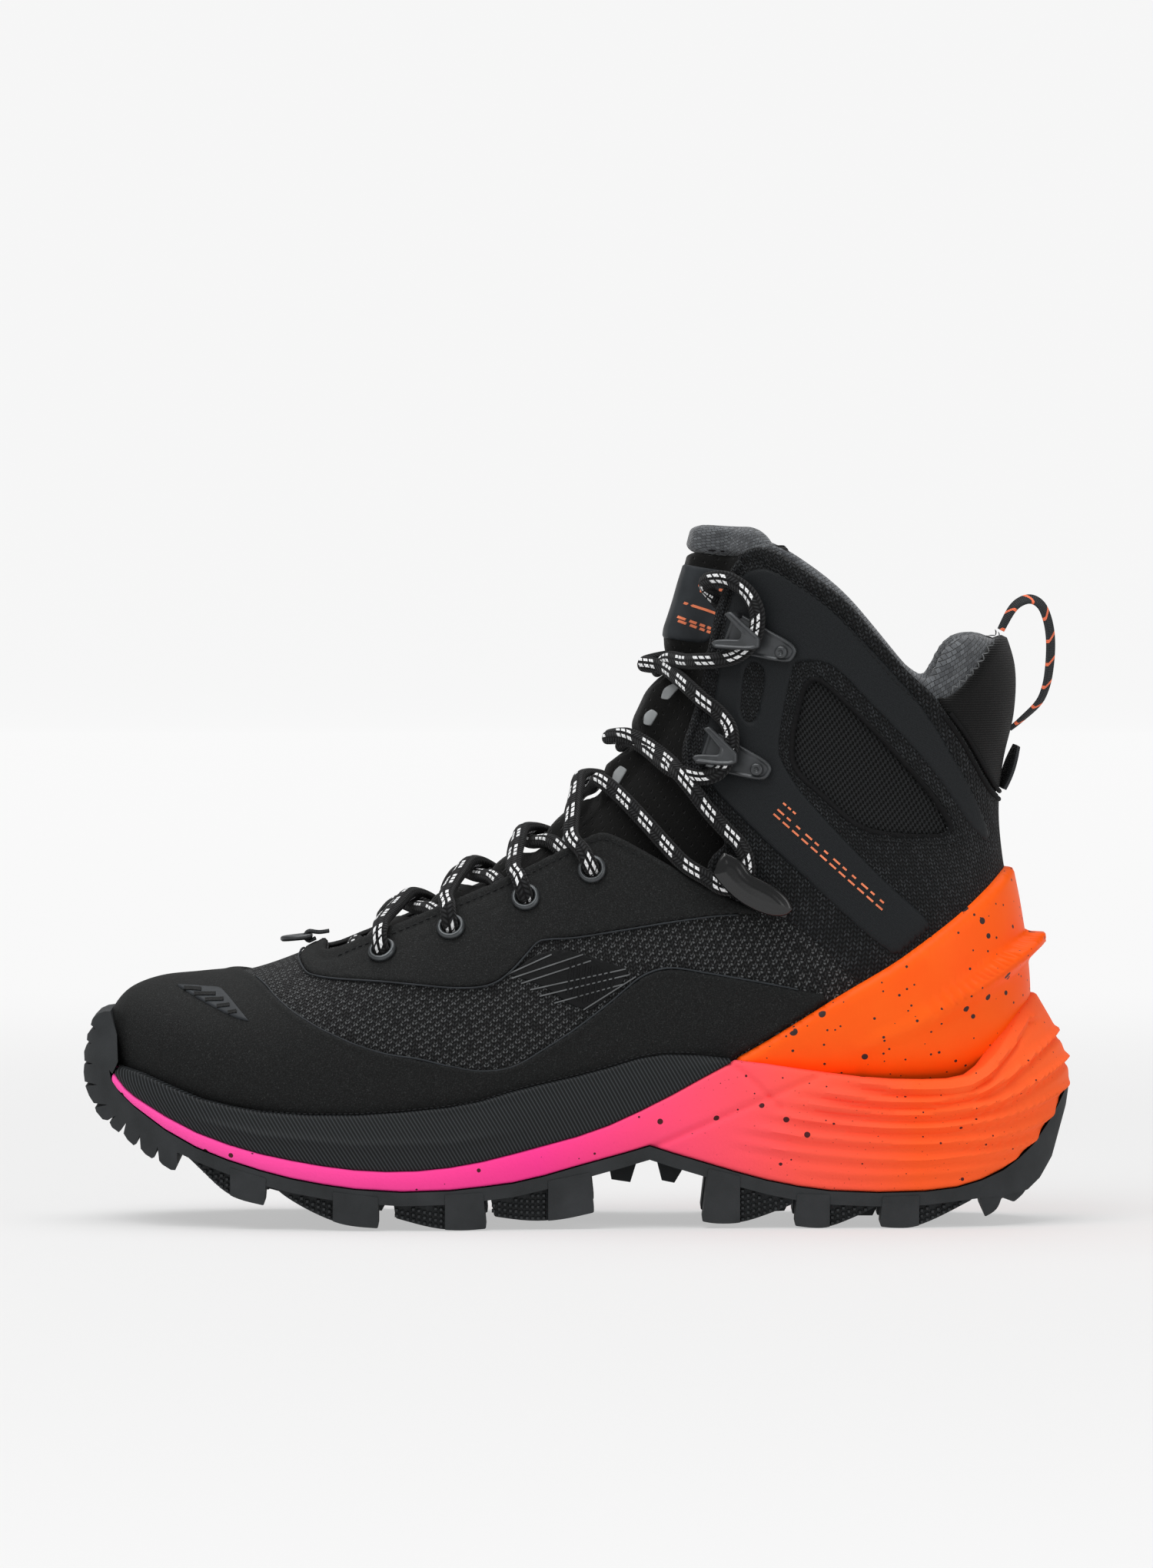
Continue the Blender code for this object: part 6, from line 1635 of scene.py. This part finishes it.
def label_strokes():
    """Plain blocks in rows on the tongue's patch, with one long bar."""
    made = [((31.6, 197.4), (40.0, 193.9))]
    for number in range(5):
        x, z = 34.6 + 1.9 * number, 203.6 - 0.55 * number
        made.append(((x, z), (x + 1.1, z - 0.3)))
        made.append(((x, z - 1.7), (x + 1.1, z - 2.0)))
        x, z = 29.9 + 1.7 * number, 191.8 - 0.75 * number
        made.append(((x, z), (x + 1.1, z - 0.5)))
        made.append(((x + 0.1, z + 1.2), (x + 1.2, z + 0.7)))
    return made


def make_trim(side):
    end = SIDES[side]
    marks(f"band_marks_{end}", band_strokes(), side, 1.05, looks["print"])
    stitches(f"eyestay_stitch_{end}", [(x, z - 2.6) for x, z in THROAT[1:-3]], side, 1.15, looks["thread"])
    stitches(f"rand_stitch_{end}", [(x, z + 0.9) for x, z in RAND_TOP[1:-1]], side, 1.15, looks["thread"],
             length=1.1, gap=0.7, radius=0.3, slot="rand")
    inner = [(x, z) for x, z in WINDOW] + [WINDOW[0]]
    centre = np.mean(np.array(WINDOW), axis=0)
    ring = [tuple(centre + (np.array(q) - centre) * 1.13) for q in inner]
    stitches(f"window_stitch_{end}", ring, side, 0.5, looks["thread"], radius=0.28)
    stitches(f"collar_stitch_{end}", [(x - 3.3, z - 3.6) for x, z in COLLAR[1:]], side, 0.9, looks["thread"],
             radius=0.28)
    patch = [(-127, 74.6), (-113.5, 74.4), (-111.4, 73.4), (-103, 64.6), (-108, 65.6), (-117, 69.6)]
    plate(f"toe_patch_{end}", patch, side, 1.75, 0.9, looks["label"], radius=0.4, slot="film")
    bars = [((-124.2, 73.4), (-118.6, 73.2)), ((-120.8, 71.9), (-114.0, 72.0)),
            ((-117.2, 70.3), (-111.4, 70.6)), ((-113.4, 68.5), (-109.4, 69.0)),
            ((-109.8, 66.8), (-107.0, 67.2))]
    marks(f"toe_bars_{end}", bars, side, 1.75, looks["guard"], width=0.9, rise=0.3, slot="film")
    film = ((-21.5, 80.2), (-14, 86.2), (-5, 88.6), (3, 86.2), (16.5, 81.6), (13.5, 75.4), (4.5, 69.0),
            (-2, 70.2), (-10, 76.6))
    plate(f"side_film_{end}", film, side, 0.32, -0.2, looks["gloss"], radius=0.2, slot="film")
    lines = [((-22.0, 80.2), (-8.0, 86.4)), ((-20.6, 79.0), (2.0, 86.4)), ((-17.6, 77.4), (4.4, 84.4)),
             ((-14.8, 75.4), (15.4, 81.8)), ((-11.8, 73.4), (16.4, 80.0)), ((-7.2, 71.2), (14.4, 77.0)),
             ((2.0, 69.0), (18.6, 79.4))]
    marks(f"side_film_lines_{end}", lines, side, 0.32, looks["pale_thread"], width=0.4, rise=0.25,
          slot="film")
    ribs = [((x, 71.0 + 0.5 * abs(x - 3)), (x + 1.2, 85.0 - 0.35 * abs(x + 2)))
            for x in np.arange(-3.0, 11.0, 1.7)]
    marks(f"side_film_ribs_{end}", ribs, side, 0.32, looks["gloss"], width=0.7, rise=0.3, slot="film")
    strips = (((21.4, 167.4), (23.6, 167.6), (28.2, 173.6), (26.6, 174.6), (23.0, 172.0)),
              ((16.6, 159.4), (18.6, 159.6), (21.8, 165.0), (20.4, 166.2), (17.6, 163.4)),
              ((6.0, 141.6), (8.2, 142.0), (12.2, 148.4), (10.4, 149.2), (7.4, 146.0)),
              ((-10.2, 124.6), (-8.4, 124.8), (-2.4, 131.0), (-3.6, 132.0), (-8.0, 128.6)))
    for number, strip in enumerate(strips):
        middle = np.mean(np.array(strip), axis=0)
        outline = rounded(middle + (np.array(strip) - middle) * 0.7, 0.4)
        lattice = patch_lattice(outline, side, 0.35)
        field = distance_in(outline, lattice.p[..., 0], lattice.p[..., 2])
        shell(f"reflector_{number}_{end}", lattice, field, lambda p: tongue_outer(p) + 0.35,
              lambda p: tongue_outer(p) - 0.4, looks["silver"], slot="tongue")
    marks(f"label_marks_{end}", label_strokes(), side, lambda p: tongue_outer(p) + 0.5, looks["print"],
          width=0.8)
    stitches(f"cap_stitch_{end}", [(37, 214.5), (46, 214.9), (58, 215.2)], side,
             lambda p: tongue_outer(p) + 0.1, looks["black"], length=1.2, gap=0.5, radius=0.3, slot="lining")
    stitches(f"heel_zigzag_{end}", [(118, 169.5), (125, 175.5), (131, 184), (134.5, 187.8)], side, 0.4,
             looks["pale_thread"], length=1.3, gap=0.1, radius=0.2, swing=0.7, slot="lining")
    strip = np.array(COLLAR_STRIP, float)
    for number, shift in enumerate((-1.2, 0.9)):
        piping(f"heel_piping_{number}_{end}", strip + [shift, shift * 0.4], side, 0.5, 0.75, looks["black"])
    piping(f"guard_edge_{end}", GUARD_TOP[4:-1], side, 0.75, 0.32, looks["label"])
    piping(f"eyestay_edge_{end}", EYESTAY_FOOT[1:-1], side, 0.85, 0.3, looks["label"])
    rim = [(-149.6, 66.6), (-149.4, 62), (-149.2, 57), (-148.4, 51.8)]
    piping(f"bumper_rim_{end}", rim, side, 1.9, 0.8, looks["rubber"])


# ---------------------------------------------------------------- fittings
def make_eyelet(side, number, x, z):
    profile = [(2.85, -1.8), (2.85, 2.3), (2.95, 2.65), (3.2, 2.9), (3.6, 3.0), (4.1, 2.85), (4.45, 2.5),
               (4.6, 2.05), (4.6, 1.2), (3.45, 1.2), (3.45, -1.8)]
    fitted(f"eyelet_ring_{SIDES[side]}_{number}", profile, x, z, side, looks["eyelet"], 40,
           f"eyelet_{SIDES[side]}_{number}")


def make_hook(side, label, shift):
    def moved(outline):
        return [(x + shift[0], z + shift[1]) for x, z in outline]
    end = SIDES[side] + label
    base = moved(HOOK_PLATE)

    def dished(p):
        return rolled(3.3, 2.6, 0.5)(p) - 0.4 * smooth((p.e - 0.8) / 0.4)

    def bevelled(p):
        return rolled(10.1, 9.2, 0.7)(p) - 0.45 * smooth((p.e - 0.75) / 0.4)
    made = [plate(f"hook_{end}", base, side, dished, 2.0, looks["hook"], step=0.3,
                  node=f"speed_hook_{end}", slot="hardware")]
    made.append(plate(f"hook_top_{end}", moved(HOOK_APEX_ARM), side, bevelled, 8.7, looks["hook"], step=0.25))
    for number, leg in enumerate(HOOK_LEGS):
        made.append(plate(f"hook_leg_{end}_{number}", moved(leg), side, 9.4, 2.5, looks["hook"], step=0.25))
    join(made)
    x, z = moved([HOOK_RIVET])[0]
    profile = ((0.0, 3.95), (0.55, 3.9), (0.75, 4.45), (1.1, 4.65), (1.7, 4.55), (2.0, 4.2), (2.05, 3.75),
               (2.0, 3.3), (0.0, 3.2))
    fitted(f"hook_pin_{end}", profile, x, z, side, looks["hook"], 32, f"speed_hook_rivet_{end}")


def make_keeper(side):
    end = SIDES[side]

    def humped(p):
        return rolled(10.1, 8.9, 1.6)(p) + 0.4 * smooth((p.e - 1.6) / 2.0)
    made = [plate(f"keeper_{end}", KEEPER_PLATE, side, rolled(3.3, 2.4, 0.6), 2.0, looks["keeper"], step=0.3,
                  node=f"lace_keeper_{end}", slot="hardware"),
            plate(f"keeper_cover_{end}", KEEPER_COVER, side, humped, 8.6, looks["keeper"], step=0.3),
            plate(f"keeper_leg_{end}", KEEPER_LEG, side, 9.4, 2.5, looks["keeper"], step=0.3)]
    join(made)
    profile = ((0.0, 4.5), (1.3, 4.5), (1.9, 4.2), (2.0, 3.6), (2.0, 3.3), (0.0, 3.2))
    fitted(f"keeper_pin_{end}", profile, *KEEPER_RIVET, side, looks["hook"], 28, f"lace_keeper_rivet_{end}")


def strap(name, path, thickness, half, look, body="boot", node=None, slot="webbing", step=0.6, lean=0.0):
    """A flat tape that follows a side-view path, with rounded edges, leaning a little out of its plane."""
    line = resampled([(x, 0.0, z) for x, z in path], step)
    across, up = frames(line, np.tile([0.0, 1.0, 0.0], (len(line), 1)))
    if lean:
        turn = math.radians(lean) * np.sin(np.linspace(0.5, math.pi - 0.3, len(line)))[:, None]
        across, up = across * np.cos(turn) + up * np.sin(turn), up * np.cos(turn) - across * np.sin(turn)
    t = circle(28)
    outline = np.stack([thickness / 2 * np.sign(np.cos(t)) * np.abs(np.cos(t)) ** 0.35,
                        half * np.sign(np.sin(t)) * np.abs(np.sin(t)) ** 0.35], 1)
    points, faces = sweep(line, across, up, lambda k: outline)
    u = np.repeat(np.arange(len(line)) * step, len(outline))
    v = np.tile(outline[:, 1] + half, len(line))
    return make(name, points, faces, look, np.stack([u, v], 1), body=body, node=node, slot=slot, sharp=50)


def make_ring():
    x0, z0 = RING_HINGE
    t = np.radians(np.arange(0, 181, 6))
    arc = [(-math.sin(k) * RING_REACH, -math.cos(k) * RING_BAR) for k in t]
    bar = [(0.0, y) for y in np.linspace(RING_BAR, -RING_BAR, 12)[1:-1]]
    c, s = math.cos(math.radians(RING_TILT)), math.sin(math.radians(RING_TILT))
    line = np.array([(x0 + reach * c, y, z0 - reach * s) for reach, y in arc + bar])
    t = np.roll(line, -1, 0) - np.roll(line, 1, 0)
    t /= np.linalg.norm(t, axis=1, keepdims=True)
    up = np.tile([s, 0.0, c], (len(line), 1))
    across = np.cross(up, t)
    angle = circle(16)
    rings = [line[k] + RING_WIRE * (np.cos(angle)[:, None] * across[k] + np.sin(angle)[:, None] * up[k])
             for k in range(len(line))]
    make("ring_wire", np.concatenate(rings), ring_faces(len(line), len(angle), closed=True), looks["hook"],
         body="ring", node="lace_ring", slot="hardware")
    r = RING_WIRE + 0.65
    wrap = [(x0 + r * math.cos(t), z0 + r * math.sin(t)) for t in np.radians(range(80, 281, 12))]
    strap("ring_tape", [(-78.9, 92.1), (-82.0, 91.7), *wrap, (-83.2, 89.8)], 1.1, 4.2, looks["webbing"],
          node="ring_webbing", step=0.35)


def make_loops():
    loop = ((134.9, 187.9), *PULL_LOOP[1:-2], (141.4, 159.4), (137.8, 156.4))
    strap("pull_tape", loop, 1.3, 4.0, looks["pull"], body="loop", node="pull_loop", lean=17)
    strap("heel_tape", HEEL_TAB, 1.5, 8.0, looks["webbing"], node="heel_tab", lean=9)


# ---------------------------------------------------------------- everything in turn
THROAT_LINE = rounded(THROAT, closed=False)
COLLAR_LINE = rounded(COLLAR, closed=False)
make_lace()
make_upper()
make_guard()
make_tongue()
make_lining()
make_insole()
make_midsole()
make_rand()
make_outsole()
make_cradle()
make_ring()
make_loops()
for side in SIDES:
    make_window(side)
    make_quarter_knit(side)
    make_trim(side)
    make_eyestay(side)
    make_quarter(side)
    make_hook(side, "_upper", (0.0, 0.0))
    make_hook(side, "_lower", LOWER_HOOK_SHIFT)
    make_keeper(side)
    for number, (x, z) in enumerate(EYELETS, 1):
        make_eyelet(side, number, x, z)
# The collar foam comes through the lining in one place inside the heel, so it gets the black piping look
# there as painted shade; the heel counter gets the same black look, and the other hidden parts the board
# look.
for name in HIDDEN:
    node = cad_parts[name]
    for slot_ in node.material_slots:
        slot_.material = looks["black" if name in ("collar_foam", "heel_counter") else "board"]


# ---------------------------------------------------------------- stage, light and camera
def make_floor():
    """A pale round floor that curves up into a low wall all round, evenly pale beyond the lamps' reach."""
    profile = [(r, 0.0) for r in (1, 300, 700, 1200, 2000, 3500, 5000)]
    for t in np.linspace(0, math.pi / 2, 14)[1:]:
        profile.append((5000 + 400 * math.sin(t), 400 * (1 - math.cos(t))))
    profile.append((5400, 950))
    turns = circle(96)
    points = [(r * math.cos(a), r * math.sin(a), z) for r, z in profile for a in turns]
    faces = ring_faces(len(profile), len(turns)) + [list(range(len(turns)))]
    mesh = bpy.data.meshes.new("studio_floor")
    mesh.from_pydata([[v * MM for v in p] for p in points], [], faces)
    floor = bpy.data.objects.new("studio_floor", mesh)
    bpy.context.scene.collection.objects.link(floor)
    mesh.shade_smooth()
    k = Look("pale_floor", (150, 150, 150), 0.95, Emission_Color=(1, 1, 1, 1))
    reach = k.node("VectorMath", {"operation": "LENGTH"}, _0=k.spot()).outputs["Value"]
    far = k.node("MapRange", {"interpolation_type": "SMOOTHSTEP"}, Value=reach, From_Min=350.0,
                 From_Max=1500.0).outputs[0]
    k.colour(k.mix(far, (150, 150, 150), (0, 0, 0)))
    k.tree.links.new(k.math("MULTIPLY_ADD", far, 0.45, 0.47), k.shader.inputs["Emission Strength"])
    mesh.materials.append(k.mat)


def soft_light(name, place, size, power):
    """A square white lamp aimed at the middle of the boot."""
    data = bpy.data.lights.new(name, "AREA")
    data.shape, data.size, data.energy = "SQUARE", size, power
    light = bpy.data.objects.new(name, data)
    light.location = place
    light.rotation_euler = (Vector((0.0, 0.0, 0.1)) - Vector(place)).to_track_quat("-Z", "Y").to_euler()
    bpy.context.scene.collection.objects.link(light)


def make_camera():
    data = bpy.data.cameras.new("camera")
    data.lens, data.sensor_width = 300.0, 36.0
    camera = bpy.data.objects.new("camera", data)
    distance, elevation = 4.134, math.radians(2.0)
    target = Vector((0.00006, -0.025, 0.1398))
    camera.location = target + Vector((0, -math.cos(elevation), math.sin(elevation))) * distance
    camera.rotation_euler = (target - camera.location).to_track_quat("-Z", "Y").to_euler()
    bpy.context.scene.collection.objects.link(camera)
    bpy.context.scene.camera = camera


make_floor()
soft_light("key", (-0.8, -1.2, 2.2), 1.8, 38)
soft_light("fill", (1.5, -1.5, 0.9), 1.2, 9)
soft_light("top", (-0.1, 0.45, 2.1), 2.2, 35)
world = bpy.data.worlds.new("studio")
world.use_nodes = True
world.node_tree.nodes["Background"].inputs["Color"].default_value = (1, 1, 1, 1)
world.node_tree.nodes["Background"].inputs["Strength"].default_value = 0.3
bpy.context.scene.world = world
bpy.context.scene.view_settings.view_transform = "Standard"
make_camera()
